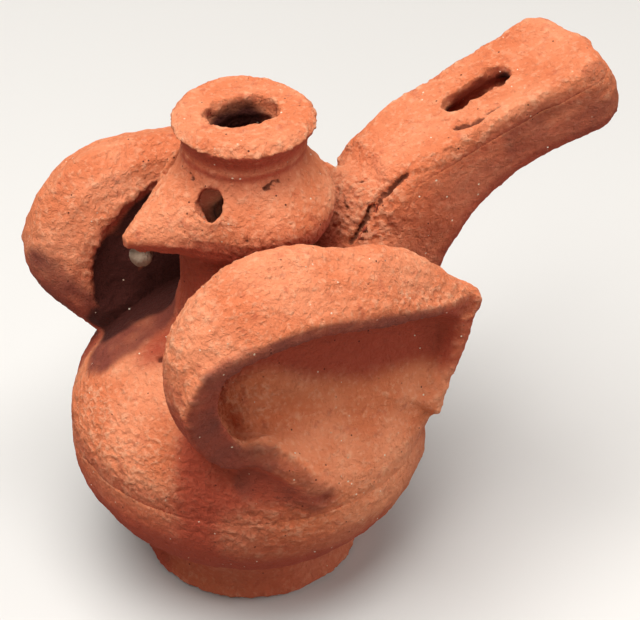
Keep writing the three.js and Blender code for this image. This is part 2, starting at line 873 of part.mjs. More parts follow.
const bird = new THREE.Group();
bird.name = "bird_whistle";
bird.add(clayPiece("foot_disc", footDisc(), deepClay, 0.95));
bird.add(clayPiece("lower_bowl", lowerBowl(), litClay, 0.95));
bird.add(clayPiece("upper_dome", upperDome(), litClay, 0.95));
bird.add(clayPiece("neck_tube", neckTube(), deepClay, 0.95));
bird.add(clayPiece("head_shell", headShell(), litClay, 0.92));
bird.add(clayPiece("beak", beak(), litClay, 0.92));
bird.add(clayPiece("throat_pellet", throatPellet(), paleClay, 0.9));
bird.add(clayPiece("spout_collar", spoutCollar(), litClay, 0.92));
bird.add(clayPiece("spout_lip", spoutLip(), litClay, 0.92));
bird.add(clayPiece("tail_trough", tailTrough(), deepClay, 0.95));
bird.add(clayPiece("tail_top_slab", tailTopSlab(), litClay, 0.9));
bird.add(clayPiece("windway_block", windwayBlock(), deepClay, 0.95));
bird.add(clayPiece("tail_root_lute", tailRootLute(), litClay, 0.97));
bird.add(clayPiece("left_wing", seatedWing(leftWing), litClay, 0.92));
bird.add(clayPiece("right_wing", seatedWing(rightWing), litClay, 0.92));

export default bird;
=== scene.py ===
"""Visual model of a hand-built pottery bird whistle.

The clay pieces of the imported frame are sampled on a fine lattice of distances, luted together with soft
fillets, cut apart again where one piece of clay meets the next, and given the lumps, grit, pits, cracks and
scratches of coarse earthenware. Arrays of places are in millimetres and finished meshes are in metres.
"""

import logging
import math
from dataclasses import dataclass
from enum import Enum, IntEnum
from itertools import product

import bmesh
import bpy
import numpy as np
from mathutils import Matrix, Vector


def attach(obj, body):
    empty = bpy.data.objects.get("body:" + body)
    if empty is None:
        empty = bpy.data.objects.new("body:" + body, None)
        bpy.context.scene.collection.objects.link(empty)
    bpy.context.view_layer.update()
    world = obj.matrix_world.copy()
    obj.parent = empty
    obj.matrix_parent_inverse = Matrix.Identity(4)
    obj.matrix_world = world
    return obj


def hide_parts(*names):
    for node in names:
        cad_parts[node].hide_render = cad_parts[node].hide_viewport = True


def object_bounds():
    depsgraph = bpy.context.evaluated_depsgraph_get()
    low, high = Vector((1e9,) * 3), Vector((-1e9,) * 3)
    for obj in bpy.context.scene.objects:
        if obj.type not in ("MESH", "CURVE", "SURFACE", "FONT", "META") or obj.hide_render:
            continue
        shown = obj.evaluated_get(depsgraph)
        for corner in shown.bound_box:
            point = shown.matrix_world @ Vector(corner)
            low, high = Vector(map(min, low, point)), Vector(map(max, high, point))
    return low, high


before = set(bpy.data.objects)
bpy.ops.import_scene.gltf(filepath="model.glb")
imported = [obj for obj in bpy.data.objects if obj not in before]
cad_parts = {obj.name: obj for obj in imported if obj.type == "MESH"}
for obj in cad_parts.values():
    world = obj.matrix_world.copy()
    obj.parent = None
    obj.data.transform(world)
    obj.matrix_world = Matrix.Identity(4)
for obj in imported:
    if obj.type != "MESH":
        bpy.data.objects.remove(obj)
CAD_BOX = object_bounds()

import openvdb
from mathutils import Vector

LOG = logging.getLogger("bird_whistle")

MM = 0.001
BODY = "root"
LEAST_LENGTH = 1e-12
BOX_LOW, BOX_HIGH = (np.array(corner) / MM for corner in CAD_BOX)

Point = tuple[float, float, float]
Window = tuple[slice, ...]


class Slot(Enum):
    """Material slots of the clay pieces."""

    TERRACOTTA = "terracotta"
    DEEP = "terracotta_deep"
    PALE = "pale_clay"


class Seed(IntEnum):
    """Seeds of the patterns, fixed so that each run gives the same surface."""

    GRAINS = 7
    LUMPS = 11
    SKIN = 21
    GRIT = 31
    CRAWL_BEND = 40
    CRAWL = 45
    PITS = 51
    SMOKE = 61
    GROOVE_BEND = 70
    BEAD_EDGE = 81
    BAND_FACE = 83
    BAND_EDGE = 85
    SAND = 91


def linear(hex_colour: str) -> tuple[float, float, float, float]:
    """Turn an sRGB hex colour into the linear colour that shaders take.

    Args:
        hex_colour: Six hex digits after a hash sign.

    Returns:
        Red, green, blue and an alpha of one.
    """
    parts = [int(hex_colour[i : i + 2], 16) / 255 for i in (1, 3, 5)]
    curve = [p / 12.92 if p <= 0.04045 else ((p + 0.055) / 1.055) ** 2.4 for p in parts]
    return (*curve, 1.0)


def ease(value: np.ndarray, low: float, high: float) -> np.ndarray:
    """Rise smoothly from zero at low to one at high, and hold at both ends."""
    share = np.clip((value - low) / (high - low), 0.0, 1.0)
    return share * share * (3 - 2 * share)


def soft_least(first: np.ndarray, second: np.ndarray, fillet: np.ndarray | float) -> np.ndarray:
    """The lesser of two distances in mm, with a soft fillet of a size in mm where they meet."""
    overlap = np.maximum(fillet - np.abs(first - second), 0)
    return np.minimum(first, second) - overlap * overlap / (4 * fillet)


def nearest_on(points: np.ndarray, path: tuple[Point, ...]) -> tuple[np.ndarray, np.ndarray]:
    """Find the nearest spot on a chain of straight links.

    Args:
        points: N by 3 places in mm.
        path: The chain's corners in mm.

    Returns:
        The step from the nearest spot to each point in mm, and where on the chain that spot is, as the
        number of its link and the share of it.
    """
    best = np.full(len(points), np.inf)
    step = np.zeros((len(points), 3))
    place = np.zeros(len(points))
    for number, (start, end) in enumerate(zip(path, path[1:])):
        a, b = np.array(start), np.array(end)
        share = np.clip((points - a) @ (b - a) / ((b - a) @ (b - a)), 0, 1)
        away = points - a - share[:, None] * (b - a)
        size = np.einsum("ij,ij->i", away, away)
        closer = size < best
        best[closer] = size[closer]
        step[closer] = away[closer]
        place[closer] = number + share[closer]
    return step, place


def distance_to(points: np.ndarray, path: tuple[Point, ...]) -> np.ndarray:
    """Distance in mm from each point to a chain of straight links."""
    return np.linalg.norm(nearest_on(points, path)[0], axis=1)


class Noise:
    """Smooth seeded noise on points in space, from a scramble of whole numbers."""

    CORNERS = list(product((0, 1), repeat=3))
    AXIS_FACTORS = (0x8DA6B343, 0xD8163841, 0xCB1AB31F)
    SEED_FACTOR = 0x9E3779B1
    WORD = 0xFFFFFFFF
    ROUNDS = ((15, 0x2C1B3C6D), (12, 0x297A2D39))
    LAST_SHIFT = 15
    PART_SHIFTS = (0, 10, 20)
    PART_TOP = 1023
    GAIN = 1.4

    @staticmethod
    def scramble(cells: np.ndarray, seed: int) -> np.ndarray:
        """Turn whole-number cells into evenly spread 32-bit numbers.

        Args:
            cells: N by 3 whole numbers.
            seed: Picks one pattern.

        Returns:
            N unsigned 32-bit numbers.
        """
        c = cells.astype(np.int64).astype(np.uint32)
        x, y, z = (c[:, axis] * np.uint32(factor) for axis, factor in enumerate(Noise.AXIS_FACTORS))
        h = (x ^ y ^ z) + np.uint32(seed * Noise.SEED_FACTOR & Noise.WORD)
        for shift, factor in Noise.ROUNDS:
            h ^= h >> np.uint32(shift)
            h *= np.uint32(factor)
        return h ^ h >> np.uint32(Noise.LAST_SHIFT)

    @staticmethod
    def parts(scrambled: np.ndarray) -> list[np.ndarray]:
        """Three numbers from 0 to PART_TOP out of each scrambled number."""
        return [scrambled >> np.uint32(shift) & np.uint32(Noise.PART_TOP) for shift in Noise.PART_SHIFTS]

    @staticmethod
    def smooth(points: np.ndarray, wavelength: float, seed: int) -> np.ndarray:
        """Gradient noise, about -1 to 1.

        Args:
            points: N by 3 places in mm.
            wavelength: Distance between lumps in mm.
            seed: Picks one pattern.

        Returns:
            One number for each point.
        """
        p = (points / wavelength).astype(np.float32)
        cell = np.floor(p)
        part = p - cell
        fade = part * part * part * (part * (part * 6 - 15) + 10)
        total = np.zeros(len(p), np.float32)
        for corner in Noise.CORNERS:
            reach = part - np.array(corner, np.float32)
            lean = np.zeros(len(p), np.float32)
            for axis, number in enumerate(Noise.parts(Noise.scramble(cell + corner, seed))):
                lean += (number.astype(np.float32) / (Noise.PART_TOP / 2) - 1) * reach[:, axis]
            weight = np.ones(len(p), np.float32)
            for axis in range(3):
                weight *= fade[:, axis] if corner[axis] else 1 - fade[:, axis]
            total += weight * lean
        return total * Noise.GAIN

    @staticmethod
    def shake(points: np.ndarray, wavelength: float, seed: int) -> np.ndarray:
        """Noise along each of the three axes, as N by 3 steps of about -1 to 1."""
        return np.stack([Noise.smooth(points, wavelength, seed + axis) for axis in range(3)], 1)

    @staticmethod
    def layered(points: np.ndarray, wavelength: float, seed: int, layers: int = 3) -> np.ndarray:
        """Sum of noise layers, each half as wide and half as strong as the one before.

        Args:
            points: N by 3 places in mm.
            wavelength: Distance between the largest lumps in mm.
            seed: Picks one pattern.
            layers: How many layers are summed.

        Returns:
            One number for each point.
        """
        total = np.zeros(len(points), np.float32)
        for layer in range(layers):
            total += Noise.smooth(points, wavelength / 2**layer, seed + layer) / 2**layer
        return total

    @staticmethod
    def nearest_seed(points: np.ndarray, spacing: float, seed: int) -> tuple[np.ndarray, np.ndarray]:
        """Distance to the nearest of many scattered seeds, one in each cell.

        Args:
            points: N by 3 places in mm.
            spacing: Width of a cell in mm.
            seed: Picks one scatter.

        Returns:
            The distance in mm, and a number from 0 to 1 that is the nearest seed's own.
        """
        p = points / spacing
        cell = np.floor(p)
        best = np.full(len(p), np.inf, np.float32)
        own = np.zeros(len(p), np.float32)
        for neighbour in product((-1, 0, 1), repeat=3):
            near = cell + neighbour
            shift = np.stack(Noise.parts(Noise.scramble(near, seed)), 1) / Noise.PART_TOP
            away = np.linalg.norm(near + shift - p, axis=1).astype(np.float32)
            closer = away < best
            best[closer] = away[closer]
            own[closer] = Noise.parts(Noise.scramble(near, seed + 1))[0][closer] / Noise.PART_TOP
        return best * spacing, own


@dataclass(frozen=True)
class Bead:
    """A roll of clay pressed on along a chain of points, or cut away along it. Sizes are in mm."""

    path: tuple[Point, ...]
    radii: tuple[float, ...]
    softness: float = 1.0
    ragged: float = 0.0
    ragged_width: float = 3.0
    cut_away: bool = False

    RAGGED_REACH = 3
    MARGIN = 1.0

    @property
    def reach(self) -> float:
        """How far from its path it changes the clay."""
        return max(self.radii) + self.softness + self.RAGGED_REACH * self.ragged + self.MARGIN

    def shape(self, points: np.ndarray, piece: np.ndarray) -> np.ndarray:
        """Change the distances to a piece of clay.

        Args:
            points: N by 3 places in mm.
            piece: Distance to the piece at each place in mm.

        Returns:
            The new distances.
        """
        step, place = nearest_on(points, self.path)
        away = np.linalg.norm(step, axis=1) - np.interp(place, np.arange(len(self.radii)), self.radii)
        if self.ragged:
            away = away + self.ragged * Noise.layered(points, self.ragged_width, Seed.BEAD_EDGE, 2)
        if self.cut_away:
            return -soft_least(-piece, away, self.softness)
        return soft_least(piece, away, self.softness)


@dataclass(frozen=True)
class Band:
    """The flat face of a rim that was cut off square and looks to one side of the bird. Sizes are in mm."""

    path: tuple[Point, ...]
    widths: tuple[float, ...]
    side: int
    thickness: float = 3.4
    corner: float = 0.5
    softness: float = 0.7
    ragged: float = 0.22
    ragged_width: float = 2.4
    trim_reach: tuple[float, float] = (5.0, 8.0)
    trim_fall: float = 30.0

    FACE_ROUGHNESS = 0.6
    MARGIN = 2.0

    @property
    def reach(self) -> float:
        """How far from its path it changes the clay."""
        return self.trim_reach[1] + self.MARGIN

    def shape(self, points: np.ndarray, piece: np.ndarray) -> np.ndarray:
        """Cut the piece off at the face and fill the face up to its width.

        Args:
            points: N by 3 places in mm.
            piece: Distance to the piece at each place in mm.

        Returns:
            The new distances.
        """
        step, place = nearest_on(points, self.path)
        half = np.interp(place, np.arange(len(self.widths)), self.widths) / 2
        rough = Noise.smooth(points, self.ragged_width, Seed.BAND_FACE)
        out = step[:, 1] * self.side + self.ragged * self.FACE_ROUGHNESS * rough
        across = np.sqrt(np.maximum(np.einsum("ij,ij->i", step, step) - step[:, 1] ** 2, 0))
        across = across + self.ragged * Noise.layered(points, self.ragged_width, Seed.BAND_EDGE, 2)
        trimmed = out - self.trim_fall * ease(across, *self.trim_reach)
        piece = -soft_least(-piece, -trimmed, self.corner)
        deep = np.abs(out + self.thickness / 2) - self.thickness / 2 + self.corner
        wide = across - half + self.corner
        box = np.hypot(np.maximum(deep, 0), np.maximum(wide, 0)) + np.minimum(np.maximum(deep, wide), 0)
        return soft_least(piece, box - self.corner, self.softness)


@dataclass(frozen=True)
class Join:
    """One piece of clay and how softly it is luted to the clay before it. Sizes are in mm.

    Where side_fillet is given, it holds at the sides of the bird behind its shoulders, and fillet elsewhere.
    Where melted is given, the joint is smoothed over within that distance. Shapings press on and cut away
    clay before the piece is luted on.
    """

    node: str
    fillet: float
    slot: Slot = Slot.TERRACOTTA
    side_fillet: float | None = None
    side_start: float = 20.0
    side_end: float = 26.0
    shoulder_start: float = -21.0
    shoulder_end: float = -13.0
    melted: float = 0.0
    shapings: tuple[Bead | Band, ...] = ()

    LEAST_FILLET = 1e-3

    def fillet_at(self, along: np.ndarray, across: np.ndarray) -> np.ndarray | float:
        """Size of the fillet at each place.

        Args:
            along: Places along the bird, towards its tail, in mm.
            across: Distances from the bird's middle plane in mm.

        Returns:
            The fillet in mm.
        """
        if self.side_fillet is None:
            return max(self.fillet, self.LEAST_FILLET)
        share = ease(across, self.side_start, self.side_end)
        share = share * ease(along, self.shoulder_start, self.shoulder_end)
        return self.fillet + (self.side_fillet - self.fillet) * share


@dataclass(frozen=True)
class Lattice:
    """Cubic lattice of sample points. Sizes are in mm, and the step keeps a piece under 200,000 triangles."""

    step: float = 0.515
    reach: float = 8.0

    @property
    def band(self) -> int:
        """How many steps the distances reach on each side of a surface."""
        return math.ceil(self.reach / self.step)

    @property
    def transform(self) -> openvdb.Transform:
        """The place of each sample point, in mm."""
        return openvdb.createLinearTransform(voxelSize=self.step)


class ClayVolume:
    """The clay as signed distances: each piece alone, and all of them luted together.

    At a joint the piece that came first runs on a little over the other, which starts to sink before it, so
    that no crease shows where the clay is one. RUN_ON to SINK_START say in mm how far, and DIVE_SLOPE how
    steeply. A blur averages over BLUR_STEPS lattice steps to each side. Clay that is nearer than ROOF_GAP
    over a point isn't its roof. The painted light and shade are read at a lift measured off the surface, and
    fade in over a tilt that is the upward part of a normal. A grain sits no deeper than GRAIN_SINK and no
    nearer to the outline box than GRAIN_MARGIN.
    """

    RUN_ON = 0.4
    OVER_END = 0.8
    UNDER_END = 0.45
    UNDER_SINK = 0.03
    SINK_START = (-0.9, -0.5)
    DIVE_SLOPE = 0.8
    MELT_PASSES = 3
    BLUR_STEPS = 3
    ROOF_GAP = 4.0
    ROOF_PASSES = 3
    ROOF_SOFTNESS = 4.5
    LIGHT_LIFT = 2.0
    LIGHT_TILT = 0.55
    GRAIN_MARGIN = 0.6
    GRAIN_SINK = 0.12

    def __init__(self, lattice: Lattice, joins: list[Join]) -> None:
        """Sample every piece and lute the pieces together in their order.

        Args:
            lattice: The sample points.
            joins: The pieces, in the order in which they are luted on.
        """
        self.lattice = lattice
        margin = lattice.band + 2
        self.low = np.floor(BOX_LOW / lattice.step).astype(int) - margin
        self.shape = tuple(np.ceil(BOX_HIGH / lattice.step).astype(int) + margin - self.low)
        self.alone: dict[str, tuple[Window, np.ndarray]] = {}
        self.ranks = {join.node: rank for rank, join in enumerate(joins)}
        self.luted, self.nearest, self.second = self.blank(), self.blank(), self.blank()
        self.owner = np.full(self.shape, len(joins), np.int8)
        self.runner = self.owner.copy()
        for join in joins:
            window, piece = self.sample(join.node)
            self.alone[join.node] = window, self.shaped(join, window, piece)
            self.add(join)
        self.edge = self.blurred(self.luted) - self.luted
        self.roof = self.roofed()

    def blank(self) -> np.ndarray:
        """An empty lattice, with no clay within reach."""
        return np.full(self.shape, self.lattice.reach, np.float32)

    def sample(self, node: str) -> tuple[Window, np.ndarray]:
        """Measure the distance to one piece on the lattice points round it.

        Args:
            node: Name of the piece's node in the frame.

        Returns:
            The window of the lattice that is measured, and the signed distances there in mm.
        """
        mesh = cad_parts[node].data
        points = np.empty(len(mesh.vertices) * 3, np.float32)
        mesh.vertices.foreach_get("co", points)
        mesh.calc_loop_triangles()
        corners = np.empty(len(mesh.loop_triangles) * 3, np.int32)
        mesh.loop_triangles.foreach_get("vertices", corners)
        grid = openvdb.FloatGrid.createLevelSetFromPolygons(
            points.reshape(-1, 3) / MM,
            triangles=corners.reshape(-1, 3).astype(np.uint32),
            transform=self.lattice.transform,
            halfWidth=float(self.lattice.band),
        )
        first, last = (np.array(corner) for corner in grid.evalActiveVoxelBoundingBox())
        distances = np.empty(last - first + 1, np.float32)
        grid.copyToArray(distances, ijk=tuple(int(i) for i in first))
        start = np.maximum(first, self.low)
        stop = np.minimum(last + 1, self.low + self.shape)
        inner = tuple(slice(a - f, b - f) for a, b, f in zip(start, stop, first))
        window = tuple(slice(a - o, b - o) for a, b, o in zip(start, stop, self.low))
        return window, distances[inner]

    def shaped(self, join: Join, window: Window, piece: np.ndarray) -> np.ndarray:
        """Press on and cut away what the piece's shapings say.

        Args:
            join: The piece.
            window: Its window of the lattice.
            piece: The distances there in mm.

        Returns:
            The new distances.
        """
        piece = piece.copy()
        origin = np.array([part.start for part in window]) + self.low
        for shaping in join.shapings:
            path = np.array(shaping.path) / self.lattice.step
            reach = shaping.reach / self.lattice.step
            low = np.clip(np.floor(path.min(0) - reach - origin).astype(int), 0, piece.shape)
            high = np.clip(np.ceil(path.max(0) + reach - origin).astype(int), 0, piece.shape)
            part = tuple(slice(a, b) for a, b in zip(low, high))
            grid = np.stack(np.meshgrid(*(np.arange(a, b) for a, b in zip(low, high)), indexing="ij"), -1)
            places = (grid.reshape(-1, 3) + origin) * self.lattice.step
            near = np.flatnonzero(distance_to(places, shaping.path) < shaping.reach)
            values = piece[part].ravel()
            values[near] = shaping.shape(places[near], values[near])
            piece[part] = values.reshape(piece[part].shape)
        return piece

    def add(self, join: Join) -> None:
        """Lute one more piece to the clay, with its fillet.

        Args:
            join: The piece and its fillet.
        """
        window, piece = self.alone[join.node]
        rank = self.ranks[join.node]
        clay = self.luted[window].copy()
        along, across = (
            (np.arange(part.start, part.stop) + low) * self.lattice.step
            for part, low in zip(window, self.low[:2])
        )
        fillet = join.fillet_at(along[:, None, None], np.abs(across)[None, :, None])
        luted = soft_least(clay, piece, np.asarray(fillet, np.float32))
        if join.melted:
            share = 1 - ease(np.abs(clay - piece), join.melted / 2, join.melted)
            soft = luted
            for _ in range(self.MELT_PASSES):
                soft = self.blurred(soft)
            luted = luted + share * (soft - luted)
        self.luted[window] = luted
        nearest, owner = self.nearest[window].copy(), self.owner[window].copy()
        second, runner = self.second[window], self.runner[window]
        first = piece < nearest
        self.second[window] = np.where(first, nearest, np.minimum(second, piece))
        self.runner[window] = np.where(first, owner, np.where(piece < second, rank, runner))
        self.nearest[window] = np.where(first, piece, nearest)
        self.owner[window] = np.where(first, rank, owner)

    def blurred(self, values: np.ndarray) -> np.ndarray:
        """Average over a few steps along all axes.

        Args:
            values: Numbers on the lattice.

        Returns:
            The averages, on the same lattice.
        """
        for axis in range(3):
            values = self.box_blur(values, axis)
        return values

    def roofed(self) -> np.ndarray:
        """Find where clay hangs over the lattice points.

        Returns:
            Distances in mm, negative under clay and soft at the edge of a roof.
        """
        over = np.minimum.accumulate(self.luted[:, :, ::-1], axis=2)[:, :, ::-1]
        for axis in (0, 1) * self.ROOF_PASSES:
            over = self.box_blur(over, axis)
        return over

    def box_blur(self, values: np.ndarray, axis: int) -> np.ndarray:
        """Average over a few steps along one axis.

        Args:
            values: Numbers on the lattice.
            axis: Which axis.

        Returns:
            The averages, on the same lattice.
        """
        width = 2 * self.BLUR_STEPS + 1
        pad = [(0, 0)] * 3
        pad[axis] = (self.BLUR_STEPS + 1, self.BLUR_STEPS)
        sums = np.cumsum(np.pad(values, pad, mode="edge"), axis=axis, dtype=np.float64)
        ahead = np.take(sums, range(width, sums.shape[axis]), axis=axis)
        behind = np.take(sums, range(0, sums.shape[axis] - width), axis=axis)
        return ((ahead - behind) / width).astype(np.float32)

    def surface(self, node: str) -> tuple[np.ndarray, np.ndarray]:
        """Mesh of one piece as it lies in the luted clay, dipping under its neighbours at its joints.

        Args:
            node: Name of the piece's node.

        Returns:
            N by 3 places in mm, and M by 4 corners of the faces.
        """
        window, piece = self.alone[node]
        rank = self.ranks[node]
        mine = self.owner[window] == rank
        other = np.where(mine, self.second[window], self.nearest[window])
        over = rank < np.where(mine, self.runner[window], self.owner[window])
        past = (piece - other) / 2
        start = np.where(over, self.RUN_ON, 0.0)
        sunk = np.where(over, 0.0, self.UNDER_SINK * ease(past, *self.SINK_START))
        body = self.luted[window] + sunk + self.DIVE_SLOPE * np.maximum(past - start, 0)
        body = np.maximum(body, past - np.where(over, self.OVER_END, self.UNDER_END)).astype(np.float32)
        grid = openvdb.FloatGrid(self.lattice.reach)
        grid.transform = self.lattice.transform
        corner = [int(s.start + o) for s, o in zip(window, self.low)]
        grid.copyFromArray(np.minimum(body, self.lattice.reach), ijk=tuple(corner))
        points, _, quads = grid.convertToPolygons(isovalue=0.0, adaptivity=0.0)
        return points.astype(np.float64), quads.astype(np.int64)

    def bare(self, points: np.ndarray, finished: np.ndarray) -> np.ndarray:
        """Which points lie on the outside of the luted clay and inside the outline box.

        Args:
            points: N by 3 places in mm, before the surface detail.
            finished: The same places after it.

        Returns:
            One where a grain may sit, and zero elsewhere.
        """
        margin = self.GRAIN_MARGIN
        inside = ((finished > BOX_LOW + margin) & (finished < BOX_HIGH - margin)).all(1)
        return (inside & (self.read(self.luted, points) > -self.GRAIN_SINK)).astype(np.float32)

    def painted_light_share(self, points: np.ndarray, normals: np.ndarray) -> np.ndarray:
        """Painted light and shade at each point: lightest on faces that look up, shaded under a roof.

        Args:
            points: N by 3 places in mm.
            normals: N by 3 unit vectors.

        Returns:
            Numbers from zero to one.
        """
        # Painted light on open faces that look up, and painted shade under clay that hangs over a point.
        lifted = points + normals * self.LIGHT_LIFT + np.array((0.0, 0.0, self.ROOF_GAP))
        free = ease(self.read(self.roof, lifted), -self.ROOF_SOFTNESS, self.ROOF_SOFTNESS)
        return free * ease(normals[:, 2], -self.LIGHT_TILT, self.LIGHT_TILT)

    def read(self, values: np.ndarray, points: np.ndarray) -> np.ndarray:
        """Read numbers on the lattice at any places.

        Args:
            values: Numbers on the lattice.
            points: N by 3 places in mm.

        Returns:
            One number for each place.
        """
        at = points / self.lattice.step - self.low
        cell = np.clip(np.floor(at).astype(int), 0, np.array(self.shape) - 2)
        part = at - cell
        total = np.zeros(len(points))
        for i, j, k in Noise.CORNERS:
            weight = np.ones(len(points))
            for axis, corner in enumerate((i, j, k)):
                weight = weight * (part[:, axis] if corner else 1 - part[:, axis])
            total += weight * values[cell[:, 0] + i, cell[:, 1] + j, cell[:, 2] + k]
        return total


def put_in_scene(name: str, data: bpy.types.ID) -> bpy.types.Object:
    """Make an object and link it to the scene.

    Args:
        name: Name of the object.
        data: Its mesh, camera or lamp.

    Returns:
        The object, at the origin.
    """
    made = bpy.data.objects.new(name, data)
    bpy.context.scene.collection.objects.link(made)
    return made


def vertex_normals(points: np.ndarray, quads: np.ndarray) -> np.ndarray:
    """Mean outward direction at each point of a mesh of quads.

    Args:
        points: N by 3 places.
        quads: M by 4 corners.

    Returns:
        N by 3 unit vectors.
    """
    corner = points[quads]
    face = np.cross(corner[:, 2] - corner[:, 0], corner[:, 3] - corner[:, 1])
    total = np.stack(
        [np.bincount(quads.ravel(), np.repeat(face[:, axis], 4), len(points)) for axis in range(3)], 1
    )
    return total / np.maximum(np.linalg.norm(total, axis=1, keepdims=True), LEAST_LENGTH)


def mesh_object(name: str, points: np.ndarray, quads: np.ndarray) -> bpy.types.Object:
    """Make a smooth mesh object from places in mm.

    Args:
        name: Name of the object.
        points: N by 3 places in mm.
        quads: M by 4 corners.

    Returns:
        The object, at the origin, linked to the scene.
    """
    mesh = bpy.data.meshes.new(name)
    mesh.vertices.add(len(points))
    mesh.vertices.foreach_set("co", (points * MM).astype(np.float32).ravel())
    mesh.loops.add(quads.size)
    mesh.loops.foreach_set("vertex_index", quads.astype(np.int32).ravel())
    mesh.polygons.add(len(quads))
    mesh.polygons.foreach_set("loop_start", np.arange(0, quads.size, 4, dtype=np.int32))
    mesh.polygons.foreach_set("use_smooth", np.ones(len(quads), bool))
    mesh.update(calc_edges=True)
    mesh.validate()
    return put_in_scene(name, mesh)


@dataclass(frozen=True)
class Dent:
    """A soft hollow or, with a negative depth, a soft bump. Sizes are in mm."""

    place: Point
    radius: float
    depth: float

    SHADED_BELOW = 1.5

    @property
    def crevice_shade(self) -> bool:
        """Whether it is so narrow that painted shade darkens it."""
        return self.radius < self.SHADED_BELOW

    def press(self, points: np.ndarray) -> np.ndarray:
        """How far each of N points in mm sinks, in mm."""
        away = np.linalg.norm(points - self.place, axis=1) / self.radius
        return self.depth * np.clip(1 - away * away, 0, 1) ** 2


@dataclass(frozen=True)
class Groove:
    """A crack or scratch along a chain of points. Sizes are in mm."""

    path: tuple[Point, ...]
    width: float
    depth: float
    wander: float = 0.5

    BEND_WIDTH = 3.0
    FALL = 1.5
    SHADED_WIDTH = 2.0
    SHADED_DEPTH = 0.6

    @property
    def crevice_shade(self) -> bool:
        """Whether it is so narrow and deep that painted shade darkens it."""
        return self.width < self.SHADED_WIDTH and self.depth > self.SHADED_DEPTH

    def press(self, points: np.ndarray) -> np.ndarray:
        """How far each point sinks.

        Args:
            points: N by 3 places in mm.

        Returns:
            Depth in mm at each point.
        """
        near = np.flatnonzero(distance_to(points, self.path) < self.width + 2 * self.wander)
        sunk = np.zeros(len(points))
        if len(near):
            here = points[near]
            here = here + self.wander * Noise.shake(here, self.BEND_WIDTH, Seed.GROOVE_BEND)
            away = distance_to(here, self.path) / self.width
            sunk[near] = self.depth * np.clip(1 - away, 0, 1) ** self.FALL
        return sunk


Mark = Dent | Groove


def pits(*places: Point, radius: float = 0.9, depth: float = 0.8) -> list[Mark]:
    """Small pits of one size in mm where grains fell out."""
    return [Dent(place, radius, depth) for place in places]


@dataclass(frozen=True)
class Patch:
    """A soft-edged region of the surface, an ellipsoid in mm."""

    place: Point
    reach: Point
    strength: float = 1.0

    CORE = 0.55

    def weigh(self, points: np.ndarray) -> np.ndarray:
        """How strongly each point belongs to the patch, from zero to its strength."""
        away = np.linalg.norm((points - self.place) / self.reach, axis=1)
        return self.strength * (1 - ease(away, self.CORE, 1.0))


@dataclass(frozen=True)
class Trail:
    """A soft-edged region along a chain of points. Sizes are in mm."""

    path: tuple[Point, ...]
    reach: float
    strength: float = 1.0

    CORE = 0.45

    def weigh(self, points: np.ndarray) -> np.ndarray:
        """How strongly each point belongs to the trail, from zero to its strength."""
        return self.strength * (1 - ease(distance_to(points, self.path) / self.reach, self.CORE, 1.0))


Region = Patch | Trail


